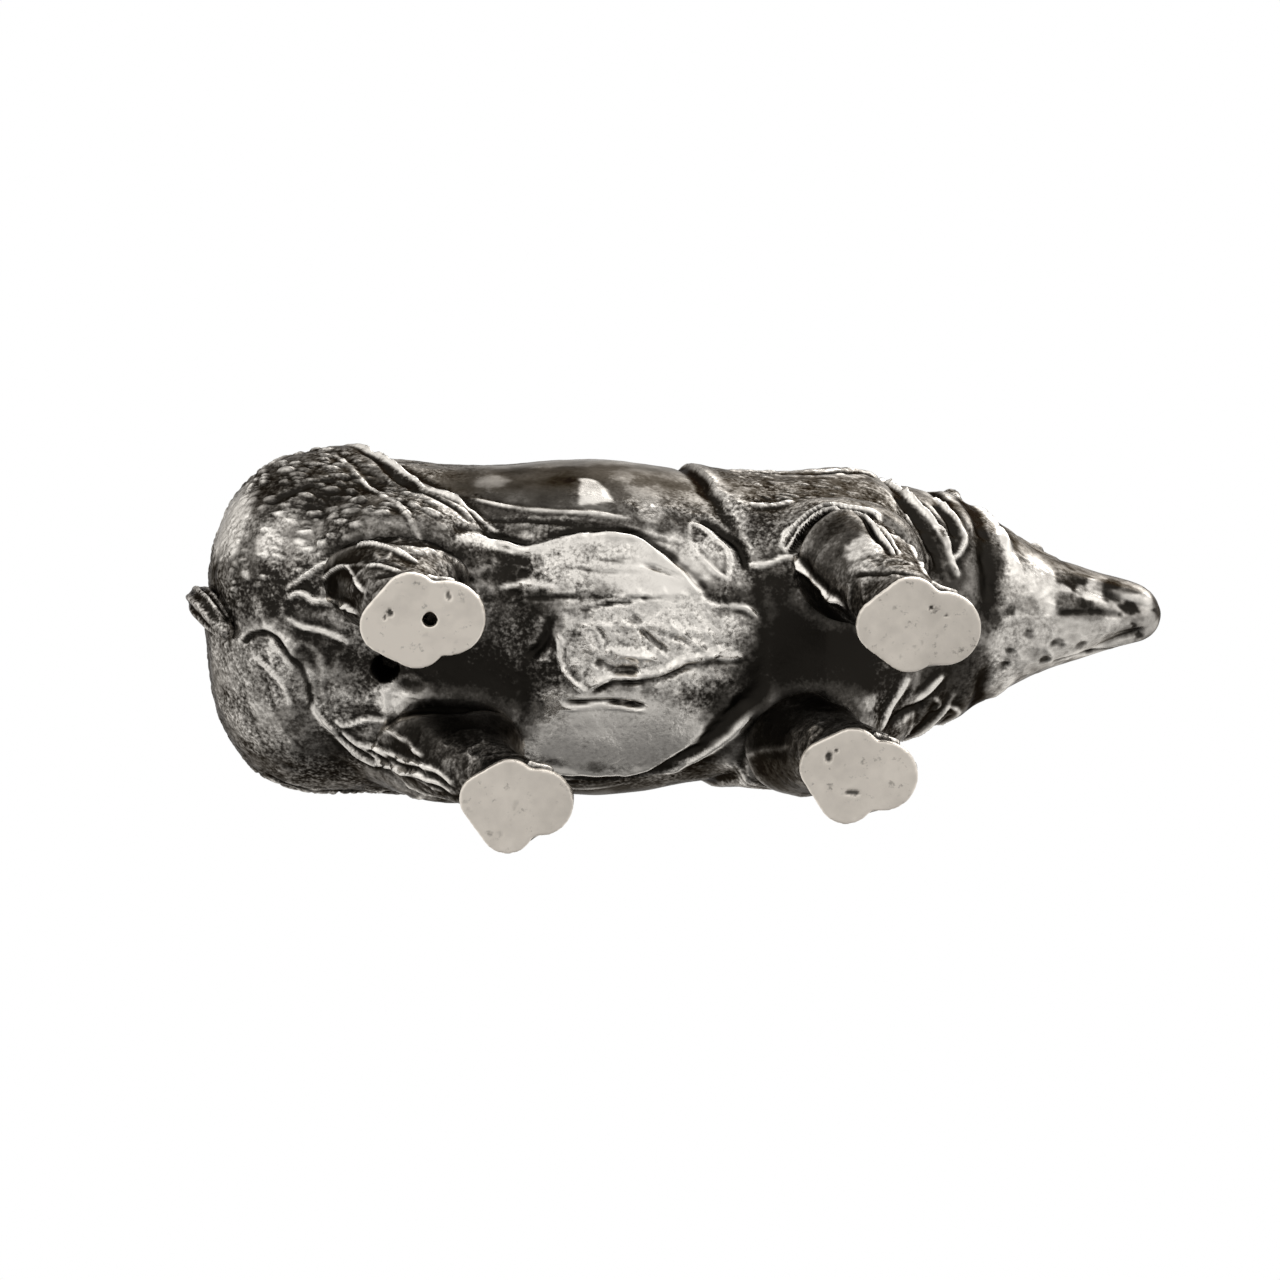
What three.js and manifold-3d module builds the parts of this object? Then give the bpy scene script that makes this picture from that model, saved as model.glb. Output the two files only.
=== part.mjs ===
// A cast-silver figurine of a walking one-horned rhinoceros, in millimetres, +X towards the nose and +Z up.
// The hide is five hollow castings that lap into each other along the animal's own skin folds. The legs are
// hollow cups that seat under the body, each closed by a flat sole plate, and the horn, ears and tail are
// separate castings. Every pair of pieces keeps a narrow gap that solder fills.
import * as THREE from 'three';
import { mergeVertices } from 'three/addons/utils/BufferGeometryUtils.js';
import Module from 'manifold-3d';

const wasm = await Module();
wasm.setup();

// Casting and soldering
const WALL = 2.4; // thickness of the hollow body castings
const SOLDER_GAP = 0.3; // clearance between two pieces that are soldered together
const LAP_LENGTH = 2.4; // how far the tongue of one casting reaches into the next
const LEG_WALL = 1.8; // thickness of the hollow legs
const VENT_DIAMETER = 4.7; // casting vent under the groin
const VENT_AHEAD = 11; // from the haunch station forward to the vent
const VENT_ASIDE = 1; // from the midline to the left
const SOLE_VENT = { diameter: 2.3, ahead: 1.2, aside: -0.4 }; // drilled through the right hind sole

// Stations along the body, from tail to nose. run: distance from the station behind it.
// level: height of the widest line. rise and drop: hide above and below that line. half: half width.
// aside: how far the middle lies to the left, since the head turns slightly to the right.
const HAUNCH = { run: 20.3, level: 57, rise: 25, drop: 28, half: 28.2, aside: 0 };
const LOIN = { run: 22, level: 54, rise: 26, drop: 27.5, half: 26.2, aside: 0 };
const BARREL = { run: 22, level: 53, rise: 25.5, drop: 28, half: 27.7, aside: 0 };
const GIRTH = { run: 20, level: 53, rise: 26.5, drop: 26.5, half: 25.2, aside: 0 };
const WITHERS = { run: 18, level: 54, rise: 28, drop: 24, half: 24.8, aside: -0.4 };
const NECK = { run: 13, level: 57, rise: 23, drop: 20, half: 20.8, aside: -1 };
const COLLAR = { run: 8, level: 59.5, rise: 18, drop: 17, half: 18.8, aside: -1.4 };
const CHEEK = { run: 7, level: 60, rise: 14.5, drop: 14, half: 14.6, aside: -1.6 };
const BROW = { run: 8, level: 60, rise: 10.5, drop: 12, half: 10, aside: -1 };
const BRIDGE = { run: 8, level: 59.5, rise: 8.2, drop: 9.6, half: 7.2, aside: -0.8 };
const NOSE = { run: 7, level: 59, rise: 9.4, drop: 7.4, half: 5.4, aside: -0.8 };
const NOSE_TIP = 5.4; // from the nose station to the tip of the upper lip
const SQUARENESS = 2.3; // superellipse exponent of every section
const RUMP_FULLNESS = 2.5; // superellipse exponent of the rump seen from above

// Skin folds along which the castings meet: how far ahead of its station a fold lies at the spine,
// on the flank, low on the side and at the belly. lift: how far its edge stands above the hide beside it.
const RUMP_FOLD = { spine: -1, flank: 5, low: 23, belly: 32, lift: 1.8 };
const SHOULDER_FOLD = { spine: -8, flank: -4.5, low: 2.5, belly: 8, lift: 1.1 };
const NECK_FOLD = { spine: -9, flank: -4, low: -0.5, belly: 2, lift: 1.6 };
const HEAD_FOLD = { spine: -8.5, flank: -2, low: -1, belly: 0, lift: 0.7 };
const LIP_REACH = 6;
const GROOVE_DEPTH = 0.7;
const GROOVE_REACH = 4;
const ROLL_DEPTH = 1.3; // rolls of loose skin round the neck
const ROLL_COUNT = 2;

// Feet: a front toe, two side toes and a heel, as overlapping circles about the foot's centre
const SOLE_THICKNESS = 1.4;
const FRONT_TOE = { ahead: 3.8, out: 0, radius: 5.7 };
const OUTER_TOE = { ahead: -1.2, out: 3.2, radius: 4.5 };
const INNER_TOE = { ahead: -1.2, out: -2.5, radius: 4.5 };
const HEEL = { ahead: -5, out: 0, radius: 4.4 };
const TOE_HEIGHT = 8; // where the toes have drawn in to the ankle

// Legs: half lengths at the ankle, knee and thigh, the heights of the last two, how far the knee or hock
// stands ahead of the line from foot to thigh, and breadth over length
const FORE_LEG = { ankle: 6.4, knee: 7.4, thigh: 11, kneeZ: 19, thighZ: 37, kneeAhead: 0.5, across: 0.88 };
const HIND_LEG = { ankle: 6, knee: 7.4, thigh: 14, kneeZ: 16, thighZ: 38, kneeAhead: -2.5, across: 0.76 };
// How far each foot stands ahead of its station and out from the midline, and where its thigh sits.
// turn: degrees its toes point to the left. splay: how far its outer toe is spread.
const FORE_RIGHT = { step: 12.2, out: -12.2, size: 1.02, turn: 3, splay: 0, thighStep: 3, thighOut: -15.2 };
const FORE_LEFT = { step: 3.3, out: 10.8, size: 0.98, turn: 9, splay: 1, thighStep: -5, thighOut: 14.4 };
const HIND_RIGHT = { step: -3.8, out: -13.1, size: 1.03, turn: -8, splay: 0, thighStep: -9, thighOut: -13.4 };
const HIND_LEFT = { step: 10.4, out: 15.4, size: 0.94, turn: 4, splay: 1.4, thighStep: -2, thighOut: 13.2 };

// Horn, ears, tail and face
const HORN_RADIUS = 4.3;
const HORN_HEIGHT = 15;
const HORN_LEAN = -3.5; // the tip lies behind the base
const EAR_LENGTH = 15;
const EAR_WIDTH = 9;
const EAR_DEPTH = 6.6;
const EAR_SPREAD = 13; // degrees out from upright
const EAR_TURN = 30; // degrees its hollow faces outwards
const TAIL_RADIUS = 2.2;
const TAIL_ROOT = 0.7; // height of the tail's root, as a share of the rump's rise
const TAIL_LENGTH = 40;
const TAIL_SWING = -6; // the tail hangs to the right
const EYE_RADIUS = 1.5;
const EYE_RELIEF = 0.5; // width of the rim cut round the eyeball
const NOSTRIL_RADIUS = 1.1;
const MOUTH_DEPTH = 2;
const MOUTH_GAPE = 0.9;
const MOUTH_LENGTH = 17;
const LIP_OVERHANG = 1.3; // the upper lip stands out over the lower jaw

// Facets
const AROUND = 32;
const LEG_AROUND = 24;
const EAR_AROUND = 14;
const EAR_ROWS = 8;

const silver = new THREE.MeshStandardMaterial({ color: 0x6f6a64, roughness: 0.42, metalness: 1 });
const polished = new THREE.MeshStandardMaterial({ color: 0xc4bdb2, roughness: 0.3, metalness: 1 });

// Smooth curve through (place, value) pairs that never swings past a value
function curveThrough(places, values) {
  const slopes = places.slice(1).map((p, i) => (values[i + 1] - values[i]) / (p - places[i]));
  const tangents = values.map((_, i) => {
    const before = slopes[Math.max(i - 1, 0)];
    const after = slopes[Math.min(i, slopes.length - 1)];
    return before * after <= 0 ? 0 : (2 * before * after) / (before + after);
  });
  return (at) => {
    let i = 0;
    while (i < places.length - 2 && at > places[i + 1]) i += 1;
    const span = places[i + 1] - places[i];
    const t = THREE.MathUtils.clamp((at - places[i]) / span, 0, 1);
    const left = values[i] + t * t * (3 - 2 * t) * (values[i + 1] - values[i]);
    return left + span * t * (1 - t) * ((1 - t) * tangents[i] - t * tangents[i + 1]);
  };
}

const mix = THREE.MathUtils.lerp;
const ease = (t) => THREE.MathUtils.smoothstep(t, 0, 1);
const bell = (d, reach) => Math.exp(-((d / reach) ** 2));

// The hide
const stations = [HAUNCH, LOIN, BARREL, GIRTH, WITHERS, NECK, COLLAR, CHEEK, BROW, BRIDGE, NOSE];
const stationX = [];
stations.reduce((x, station) => (stationX.push(x + station.run), x + station.run), 0);
const xOf = (station) => stationX[stations.indexOf(station)];
const along = Object.fromEntries(
  ['level', 'rise', 'drop', 'half', 'aside'].map((name) => {
    const values = stations.map((station) => station[name]);
    return [name, curveThrough(stationX, values)];
  }),
);
const noseX = xOf(NOSE) + NOSE_TIP;

// The rump and the upper lip close as half ellipsoids
function endFactor(x) {
  const rear = THREE.MathUtils.clamp((xOf(HAUNCH) - x) / HAUNCH.run, 0, 1);
  const front = THREE.MathUtils.clamp((x - xOf(NOSE)) / NOSE_TIP, 0, 1);
  return (1 - rear ** RUMP_FULLNESS) ** (1 / RUMP_FULLNESS) * Math.sqrt(1 - front ** 2);
}

const THINNEST = 0.15;

// A point of the hide at station x and angle (0 left, 90 degrees up), moved out by lift
function hidePoint(x, angle, lift = 0) {
  const k = endFactor(x);
  const c = Math.cos(angle);
  const s = Math.sin(angle);
  const power = 2 / SQUARENESS;
  const reach = s >= 0 ? along.rise(x) : along.drop(x);
  const y = Math.max(along.half(x) * k + lift, THINNEST) * Math.sign(c) * Math.abs(c) ** power;
  const z = Math.max(reach * k + lift, THINNEST) * Math.sign(s) * Math.abs(s) ** power;
  return new THREE.Vector3(x, along.aside(x) + y, along.level(x) + z);
}

// A fold's place along the body depends only on the height on the side
function foldLine(station, fold) {
  const line = curveThrough([-1, -0.55, 0.2, 1], [fold.belly, fold.low, fold.flank, fold.spine]);
  return { at: (angle) => xOf(station) + line(Math.sin(angle)), lift: fold.lift };
}
const rumpFold = foldLine(HAUNCH, RUMP_FOLD);
const shoulderFold = foldLine(GIRTH, SHOULDER_FOLD);
const neckFold = foldLine(NECK, NECK_FOLD);
const headFold = foldLine(CHEEK, HEAD_FOLD);

// Shield edges stand proud on the flanks and sink into the belly
const flankShare = (angle) => THREE.MathUtils.smoothstep(Math.sin(angle), -0.98, -0.4);
const lip = (fold) => (x, angle) => fold.lift * flankShare(angle) * bell(x - fold.at(angle), LIP_REACH);
const groove = (fold) => (x, angle) => -GROOVE_DEPTH * bell(x - fold.at(angle), GROOVE_REACH);
const rolls = (x, angle) => {
  const share = (x - neckFold.at(angle)) / (headFold.at(angle) - neckFold.at(angle));
  const fade = Math.sin(THREE.MathUtils.clamp(share, 0, 1) * Math.PI);
  return ROLL_DEPTH * fade * (0.25 - Math.cos(share * ROLL_COUNT * 2 * Math.PI));
};
const sum = (...reliefs) => (x, angle) => reliefs.reduce((total, relief) => total + relief(x, angle), 0);

const tailPole = { at: () => 0 };
const nosePole = { at: () => noseX };
const evenly = (t) => (1 - Math.cos(t * Math.PI)) / 2;
const fromPole = (t) => 1 - Math.cos((t * Math.PI) / 2);
const toPole = (t) => Math.sin((t * Math.PI) / 2);
const castings = {
  rump_shell: {
    from: tailPole, to: rumpFold, rows: 12, spacing: fromPole, relief: lip(rumpFold), front: 'recess',
  },
  barrel_shell: {
    from: rumpFold, to: shoulderFold, rows: 9, spacing: evenly,
    relief: sum(groove(rumpFold), groove(shoulderFold)), rear: 'tongue', front: 'tongue',
  },
  shoulder_shell: {
    from: shoulderFold, to: neckFold, rows: 9, spacing: evenly,
    relief: sum(lip(shoulderFold), lip(neckFold)), rear: 'recess', front: 'recess',
  },
  neck_shell: {
    from: neckFold, to: headFold, rows: 13, spacing: (t) => t,
    relief: sum(rolls, groove(neckFold)), rear: 'tongue', front: 'tongue',
  },
  head_shell: {
    from: headFold, to: nosePole, rows: 12, spacing: toPole, relief: lip(headFold), rear: 'recess',
  },
};

// One ring of the hide: angle by angle, at a place along the body, moved out by lift
function ring(place, lift) {
  return Array.from({ length: AROUND }, (_, i) => {
    const angle = (i / AROUND) * 2 * Math.PI - Math.PI / 2;
    const x = place(angle);
    return hidePoint(x, angle, lift(x, angle));
  });
}

// Outer rings of a casting, from its rear edge to its front edge, moved out by extra
function outerRings(casting, extra = () => 0) {
  const rear = casting.rear ? SOLDER_GAP / 2 : 0;
  const front = casting.front ? SOLDER_GAP / 2 : 0;
  const shares = Array.from({ length: casting.rows + 1 }, (_, i) => casting.spacing(i / casting.rows));
  const open = shares.filter((t) => (casting.rear || t > 0) && (casting.front || t < 1));
  return open.map((t) =>
    ring(
      (angle) => mix(casting.from.at(angle) + rear, casting.to.at(angle) - front, t),
      (x, angle) => casting.relief(x, angle) + extra(x),
    ),
  );
}

// The stepped edge of a casting, from outside to inside: a tongue or the recess that takes it
function lapRings(kind, fold, forward) {
  const edge = (angle) => fold.at(angle) + (forward ? -SOLDER_GAP / 2 : SOLDER_GAP / 2);
  const half = WALL / 2 + (kind === 'tongue' ? SOLDER_GAP : -SOLDER_GAP) / 2;
  const depth = kind === 'tongue' ? LAP_LENGTH : -(LAP_LENGTH + SOLDER_GAP);
  const end = (angle) => edge(angle) + (forward ? depth : -depth);
  return [ring(edge, () => -half), ring(end, () => -half), ring(end, () => -WALL)];
}

const CORE_ROWS = 5;
const REAR_CORE = 4; // solid metal left at the tail pole

// A hollow casting as one chain of rings: outside, front edge, inside, rear edge
function castShell(casting) {
  const front = casting.front ? lapRings(casting.front, casting.to, true) : [];
  const rear = casting.rear ? lapRings(casting.rear, casting.from, false).reverse() : [];
  const coreFrom = casting.rear ? casting.from.at : () => REAR_CORE;
  const coreTo = casting.front ? casting.to.at : () => xOf(BRIDGE);
  const rearInset = casting.rear ? LAP_LENGTH * 2 : 0;
  const frontInset = casting.front ? LAP_LENGTH * 2 : 0;
  const core = Array.from({ length: CORE_ROWS }, (_, i) => {
    const t = 1 - i / (CORE_ROWS - 1);
    const place = (angle) => mix(coreFrom(angle) + rearInset, coreTo(angle) - frontInset, t);
    return ring(place, () => -WALL);
  });
  const rings = [...outerRings(casting), ...front, ...core, ...rear];
  if (casting.rear && casting.front) return loft(rings, { loop: true });
  if (casting.front) return loft(rings, { start: hidePoint(0, 0), end: centreOf(core.at(-1)) });
  const turned = [...front, ...core, ...rear, ...outerRings(casting)];
  return loft(turned, { start: centreOf(core[0]), end: hidePoint(noseX, 0) });
}

// The whole hide as one closed body, moved out by extra: what other pieces are cut against
function wholeHide(extra) {
  const rings = Object.values(castings).flatMap((casting) => outerRings(casting, extra));
  return loft(rings, { start: hidePoint(-SOLDER_GAP, 0), end: hidePoint(noseX + SOLDER_GAP, 0) });
}

function centreOf(points) {
  return points.reduce((total, p) => total.add(p), new THREE.Vector3()).divideScalar(points.length);
}

// Joins rings of equal count into a closed surface: looped, or closed by a point at each end
function loft(rings, { loop = false, start, end }) {
  const count = rings[0].length;
  const points = rings.flat();
  const index = [];
  const bands = loop ? rings.length : rings.length - 1;
  for (let r = 0; r < bands; r += 1) {
    const a = r * count;
    const b = ((r + 1) % rings.length) * count;
    for (let i = 0; i < count; i += 1) {
      const j = (i + 1) % count;
      index.push(a + i, b + i, b + j, a + i, b + j, a + j);
    }
  }
  if (!loop) {
    const last = (rings.length - 1) * count;
    points.push(start, end);
    for (let i = 0; i < count; i += 1) {
      const j = (i + 1) % count;
      index.push(points.length - 2, i, j, points.length - 1, last + j, last + i);
    }
  }
  const geometry = new THREE.BufferGeometry().setFromPoints(points);
  geometry.setIndex(index);
  return facingOut(geometry);
}

function facingOut(geometry) {
  const at = geometry.attributes.position;
  const corner = (n) => new THREE.Vector3().fromBufferAttribute(at, geometry.index.array[n]);
  let volume = 0;
  for (let n = 0; n < geometry.index.count; n += 3) {
    volume += corner(n).dot(corner(n + 1).cross(corner(n + 2)));
  }
  if (volume < 0) geometry.index.array.reverse();
  return geometry;
}

// Booleans
function solidOf(geometry) {
  const bare = geometry.clone();
  bare.deleteAttribute('normal');
  bare.deleteAttribute('uv');
  const merged = mergeVertices(bare);
  return new wasm.Manifold(
    new wasm.Mesh({
      numProp: 3,
      vertProperties: merged.attributes.position.array,
      triVerts: new Uint32Array(merged.index.array),
    }),
  );
}

function geometryOf(solid) {
  const mesh = solid.getMesh();
  const geometry = new THREE.BufferGeometry();
  geometry.setAttribute('position', new THREE.BufferAttribute(mesh.vertProperties, 3));
  geometry.setIndex(new THREE.BufferAttribute(mesh.triVerts, 1));
  return geometry;
}

// Feet and legs

// The heel runs into the side toes without a notch, so circles between them fill the outline
function between(from, to) {
  return [0, 0.33, 0.67, 1].map((t) => ({
    ahead: mix(from.ahead, to.ahead, t),
    out: mix(from.out, to.out, t),
    radius: mix(from.radius, to.radius, t),
  }));
}
function footCircles(foot) {
  const outer = { ...OUTER_TOE, out: OUTER_TOE.out + foot.splay };
  return [FRONT_TOE, ...between(HEEL, outer), ...between(HEEL, INNER_TOE)];
}

// Distance from a foot's centre to its outline in a direction: the farthest of its circles
function footReach(foot, direction) {
  const side = Math.sign(foot.out);
  const angle = direction - THREE.MathUtils.degToRad(foot.turn);
  const reaches = footCircles(foot).map(({ ahead, out, radius }) => {
    const forward = ahead * Math.cos(angle) + side * out * Math.sin(angle);
    const aside = side * out * Math.cos(angle) - ahead * Math.sin(angle);
    return Math.abs(aside) < radius ? forward + Math.sqrt(radius ** 2 - aside ** 2) : 0;
  });
  return foot.size * Math.max(...reaches);
}

const SOLE_AROUND = 48;

function soleShape(foot) {
  const outline = Array.from({ length: SOLE_AROUND }, (_, i) => {
    const angle = (i / SOLE_AROUND) * 2 * Math.PI;
    const reach = footReach(foot, angle);
    return new THREE.Vector2(reach * Math.cos(angle), reach * Math.sin(angle));
  });
  const shape = new THREE.Shape(outline);
  if (foot === HIND_RIGHT) {
    const radius = SOLE_VENT.diameter / 2;
    shape.holes.push(new THREE.Path().absarc(SOLE_VENT.ahead, SOLE_VENT.aside, radius, 0, 2 * Math.PI));
  }
  return shape;
}

const VENT_FACETS = 8;

function soleGeometry(foot) {
  return new THREE.ExtrudeGeometry(soleShape(foot), {
    depth: SOLE_THICKNESS, bevelEnabled: false, curveSegments: VENT_FACETS,
  });
}

// The leg's centre and size at a height: in from the toes to the ankle, out to the thigh, in under the hide
function legPath(leg, centre, thigh) {
  const footZ = SOLE_THICKNESS + SOLDER_GAP;
  const topZ = leg.thighZ + leg.thigh;
  const heights = [footZ, TOE_HEIGHT, leg.kneeZ, leg.thighZ, topZ];
  const kneeShare = leg.kneeZ / leg.thighZ;
  const kneeX = mix(centre.x, thigh.x, kneeShare) + leg.kneeAhead;
  return {
    heights,
    x: curveThrough(heights, [centre.x, centre.x - 0.5, kneeX, thigh.x, thigh.x]),
    y: curveThrough(heights, [centre.y, centre.y, mix(centre.y, thigh.y, kneeShare), thigh.y, thigh.y / 2]),
    size: curveThrough(heights, [leg.ankle, leg.ankle, leg.knee, leg.thigh, leg.thigh / 2]),
  };
}

function legRing(leg, foot, path, z, inset) {
  const toes = 1 - ease((z - path.heights[0]) / (TOE_HEIGHT - path.heights[0]));
  return Array.from({ length: LEG_AROUND }, (_, i) => {
    const angle = (i / LEG_AROUND) * 2 * Math.PI;
    const size = path.size(z);
    const round = Math.hypot(size * Math.cos(angle), size * leg.across * Math.sin(angle));
    const reach = mix(round, footReach(foot, angle), toes) - inset;
    return new THREE.Vector3(path.x(z) + reach * Math.cos(angle), path.y(z) + reach * Math.sin(angle), z);
  });
}

const LEG_ROWS = 12;
const LEG_CORE_ROWS = 4;
const LEG_CORE_HEIGHT = 20; // the cup's hollow ends below the hide

function legGeometry(leg, foot, centre, thigh) {
  const path = legPath(leg, centre, thigh);
  const [low] = path.heights;
  const top = path.heights.at(-1);
  const outside = Array.from({ length: LEG_ROWS + 1 }, (_, i) => {
    const t = i / LEG_ROWS;
    return legRing(leg, foot, path, mix(low, top, t ** 1.2), 0);
  });
  const inside = Array.from({ length: LEG_CORE_ROWS }, (_, i) =>
    legRing(leg, foot, path, mix(LEG_CORE_HEIGHT, low, i / (LEG_CORE_ROWS - 1)), LEG_WALL),
  );
  return loft([...inside, ...outside], { start: centreOf(inside[0]), end: centreOf(outside.at(-1)) });
}

// Tubes: rings round a path in the plane of symmetry, with a radius at each share of it
function tube(path, radius, count, rows) {
  const rings = Array.from({ length: rows }, (_, i) => {
    const t = i / (rows - 1);
    const centre = path.getPoint(t);
    const forward = path.getTangent(t);
    const side = new THREE.Vector3(0, 1, 0).addScaledVector(forward, -forward.y).normalize();
    const up = new THREE.Vector3().crossVectors(forward, side);
    return Array.from({ length: count }, (__, j) => {
      const angle = (j / count) * 2 * Math.PI;
      return centre.clone()
        .addScaledVector(side, radius(t) * Math.cos(angle))
        .addScaledVector(up, radius(t) * Math.sin(angle));
    });
  });
  return loft(rings, { start: path.getPoint(0), end: path.getPoint(1) });
}

const TAIL_ROWS = 14;

// The tail hangs in a groove between the buttocks, its root let into the hide and its tip tucked under
function tailGeometry(extra) {
  const rootZ = HAUNCH.level + HAUNCH.rise * TAIL_ROOT;
  const path = new THREE.CatmullRomCurve3([
    new THREE.Vector3(WALL * 3, 0, rootZ),
    new THREE.Vector3(TAIL_RADIUS * 0.2, 0, rootZ - TAIL_LENGTH * 0.13),
    new THREE.Vector3(-TAIL_RADIUS * 0.5, TAIL_SWING * 0.3, rootZ - TAIL_LENGTH * 0.32),
    new THREE.Vector3(-TAIL_RADIUS * 0.45, TAIL_SWING * 0.8, rootZ - TAIL_LENGTH * 0.55),
    new THREE.Vector3(TAIL_RADIUS * 0.3, TAIL_SWING, rootZ - TAIL_LENGTH * 0.78),
    new THREE.Vector3(TAIL_RADIUS * 2.5, TAIL_SWING * 0.5, rootZ - TAIL_LENGTH),
  ]);
  const fullness = [1, 0.85, 1.1, 0.6].map((share) => share * TAIL_RADIUS);
  const size = curveThrough([0, 0.5, 0.85, 1], fullness);
  return tube(path, (t) => size(t) + extra, 12, TAIL_ROWS);
}

function hornGeometry() {
  const base = hidePoint(xOf(NOSE) - HORN_RADIUS, Math.PI / 2);
  const path = new THREE.CatmullRomCurve3([
    base.clone().add(new THREE.Vector3(0, 0, -HORN_RADIUS)),
    base.clone().add(new THREE.Vector3(0.8, 0, HORN_HEIGHT * 0.4)),
    base.clone().add(new THREE.Vector3(HORN_LEAN, 0, HORN_HEIGHT)),
  ]);
  const fullness = [1, 0.9, 0.5, 0.12].map((share) => share * HORN_RADIUS);
  return tube(path, curveThrough([0, 0.22, 0.6, 1], fullness), 16, 11);
}

// An ear is a pointed leaf on a stout root, scooped out from the front and turned outwards
function earSolid(side) {
  const fullness = curveThrough([0, 0.2, 0.5, 0.8, 1], [0.66, 0.74, 1, 0.66, 0]);
  const leaf = (grow) => {
    const at = (t) => (t - 0.5) * EAR_LENGTH * grow;
    const rings = Array.from({ length: EAR_ROWS }, (_, i) => {
      const t = i / EAR_ROWS;
      const deep = (EAR_DEPTH * fullness(t) * grow) / 2;
      const wide = (EAR_WIDTH * fullness(t) * grow) / 2;
      return Array.from({ length: EAR_AROUND }, (__, j) => {
        const angle = (j / EAR_AROUND) * 2 * Math.PI;
        return new THREE.Vector3(deep * Math.cos(angle), wide * Math.sin(angle), at(t));
      });
    });
    return loft(rings, { start: new THREE.Vector3(0, 0, at(0)), end: new THREE.Vector3(0, 0, at(1)) });
  };
  const scoop = leaf(0.76).translate(EAR_DEPTH * 0.34, 0, EAR_LENGTH * 0.09);
  const root = hidePoint(xOf(CHEEK) - CHEEK.run * 0.6, Math.PI / 2 - side * 0.62);
  const place = new THREE.Matrix4()
    .makeTranslation(root.x, root.y, root.z)
    .multiply(new THREE.Matrix4().makeRotationX(-side * THREE.MathUtils.degToRad(EAR_SPREAD)))
    .multiply(new THREE.Matrix4().makeRotationZ(side * THREE.MathUtils.degToRad(EAR_TURN)))
    .multiply(new THREE.Matrix4().makeTranslation(0, 0, EAR_LENGTH * 0.36));
  return solidOf(leaf(1).applyMatrix4(place)).subtract(solidOf(scoop.applyMatrix4(place)));
}

// Face: mouth, nostrils and eyes, cut into the head casting

// The mouth line seen from the side, as a sheet across the head that reaches down by depth
function mouthSheet(depth) {
  const lipZ = along.level(noseX) - NOSE.drop * 0.5;
  const corner = new THREE.Vector2(noseX - MOUTH_LENGTH, lipZ - MOUTH_GAPE);
  const shape = new THREE.Shape();
  shape.moveTo(corner.x, corner.y);
  shape.quadraticCurveTo(noseX - MOUTH_LENGTH / 2, lipZ - MOUTH_GAPE, noseX + MOUTH_GAPE, lipZ);
  shape.lineTo(noseX + MOUTH_GAPE, lipZ - depth);
  shape.quadraticCurveTo(noseX - MOUTH_LENGTH / 2, lipZ - depth - MOUTH_GAPE, corner.x, corner.y - depth / 2);
  const across = CHEEK.half * 2;
  const sheet = new THREE.ExtrudeGeometry(shape, { depth: across, bevelEnabled: false, curveSegments: 5 });
  return solidOf(sheet.translate(0, 0, -across / 2).rotateX(Math.PI / 2));
}

// A narrow groove along the mouth line, and the lower jaw drawn in below the lip
function mouthTool() {
  const overhang = (x) => -LIP_OVERHANG * ease((x - noseX + MOUTH_LENGTH) / (MOUTH_LENGTH / 2));
  const jaw = solidOf(wholeHide(overhang));
  const gums = solidOf(wholeHide((x) => -MOUTH_DEPTH));
  return mouthSheet(NOSE.drop * 2).subtract(jaw).add(mouthSheet(MOUTH_GAPE).subtract(gums));
}

const ball = (radius, at) => solidOf(new THREE.SphereGeometry(radius, 12, 8).translate(at.x, at.y, at.z));

function headSolid() {
  let head = solidOf(castShell(castings.head_shell)).subtract(mouthTool());
  for (const side of [1, -1]) {
    const turned = (angle) => (side > 0 ? angle : Math.PI - angle);
    const eye = hidePoint(xOf(BROW), turned(0.32), -EYE_RADIUS * 0.5);
    const socket = hidePoint(xOf(BROW), turned(0.32), EYE_RELIEF * 2 - EYE_RADIUS * 0.5);
    const nostril = hidePoint(xOf(NOSE) + NOSE_TIP * 0.3, turned(0.3));
    head = head.subtract(ball(EYE_RADIUS + EYE_RELIEF, socket)).add(ball(EYE_RADIUS, eye));
    head = head.subtract(ball(NOSTRIL_RADIUS, nostril));
  }
  return head;
}

function rumpSolid() {
  const vent = new THREE.CylinderGeometry(VENT_DIAMETER / 2, VENT_DIAMETER / 2, HAUNCH.drop, 20);
  const under = hidePoint(xOf(HAUNCH) + VENT_AHEAD, -Math.PI / 2);
  vent.rotateX(Math.PI / 2).translate(under.x, VENT_ASIDE, under.z);
  const tailGroove = solidOf(tailGeometry(SOLDER_GAP));
  return solidOf(castShell(castings.rump_shell)).subtract(solidOf(vent)).subtract(tailGroove);
}

// Assembly
const animal = new THREE.Group();

function place(name, geometry, material) {
  geometry.computeVertexNormals();
  const mesh = new THREE.Mesh(geometry, material.clone());
  mesh.name = name;
  animal.add(mesh);
  return mesh;
}

const hideTool = solidOf(wholeHide(() => SOLDER_GAP));

place('rump_shell', geometryOf(rumpSolid()), silver);
for (const name of ['barrel_shell', 'shoulder_shell', 'neck_shell']) {
  place(name, castShell(castings[name]), silver);
}
place('head_shell', geometryOf(headSolid()), silver);
place('horn', geometryOf(solidOf(hornGeometry()).subtract(hideTool)), silver);
place('ear_left', geometryOf(earSolid(1).subtract(hideTool)), silver);
place('ear_right', geometryOf(earSolid(-1).subtract(hideTool)), silver);
place('tail', tailGeometry(0), silver);

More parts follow.
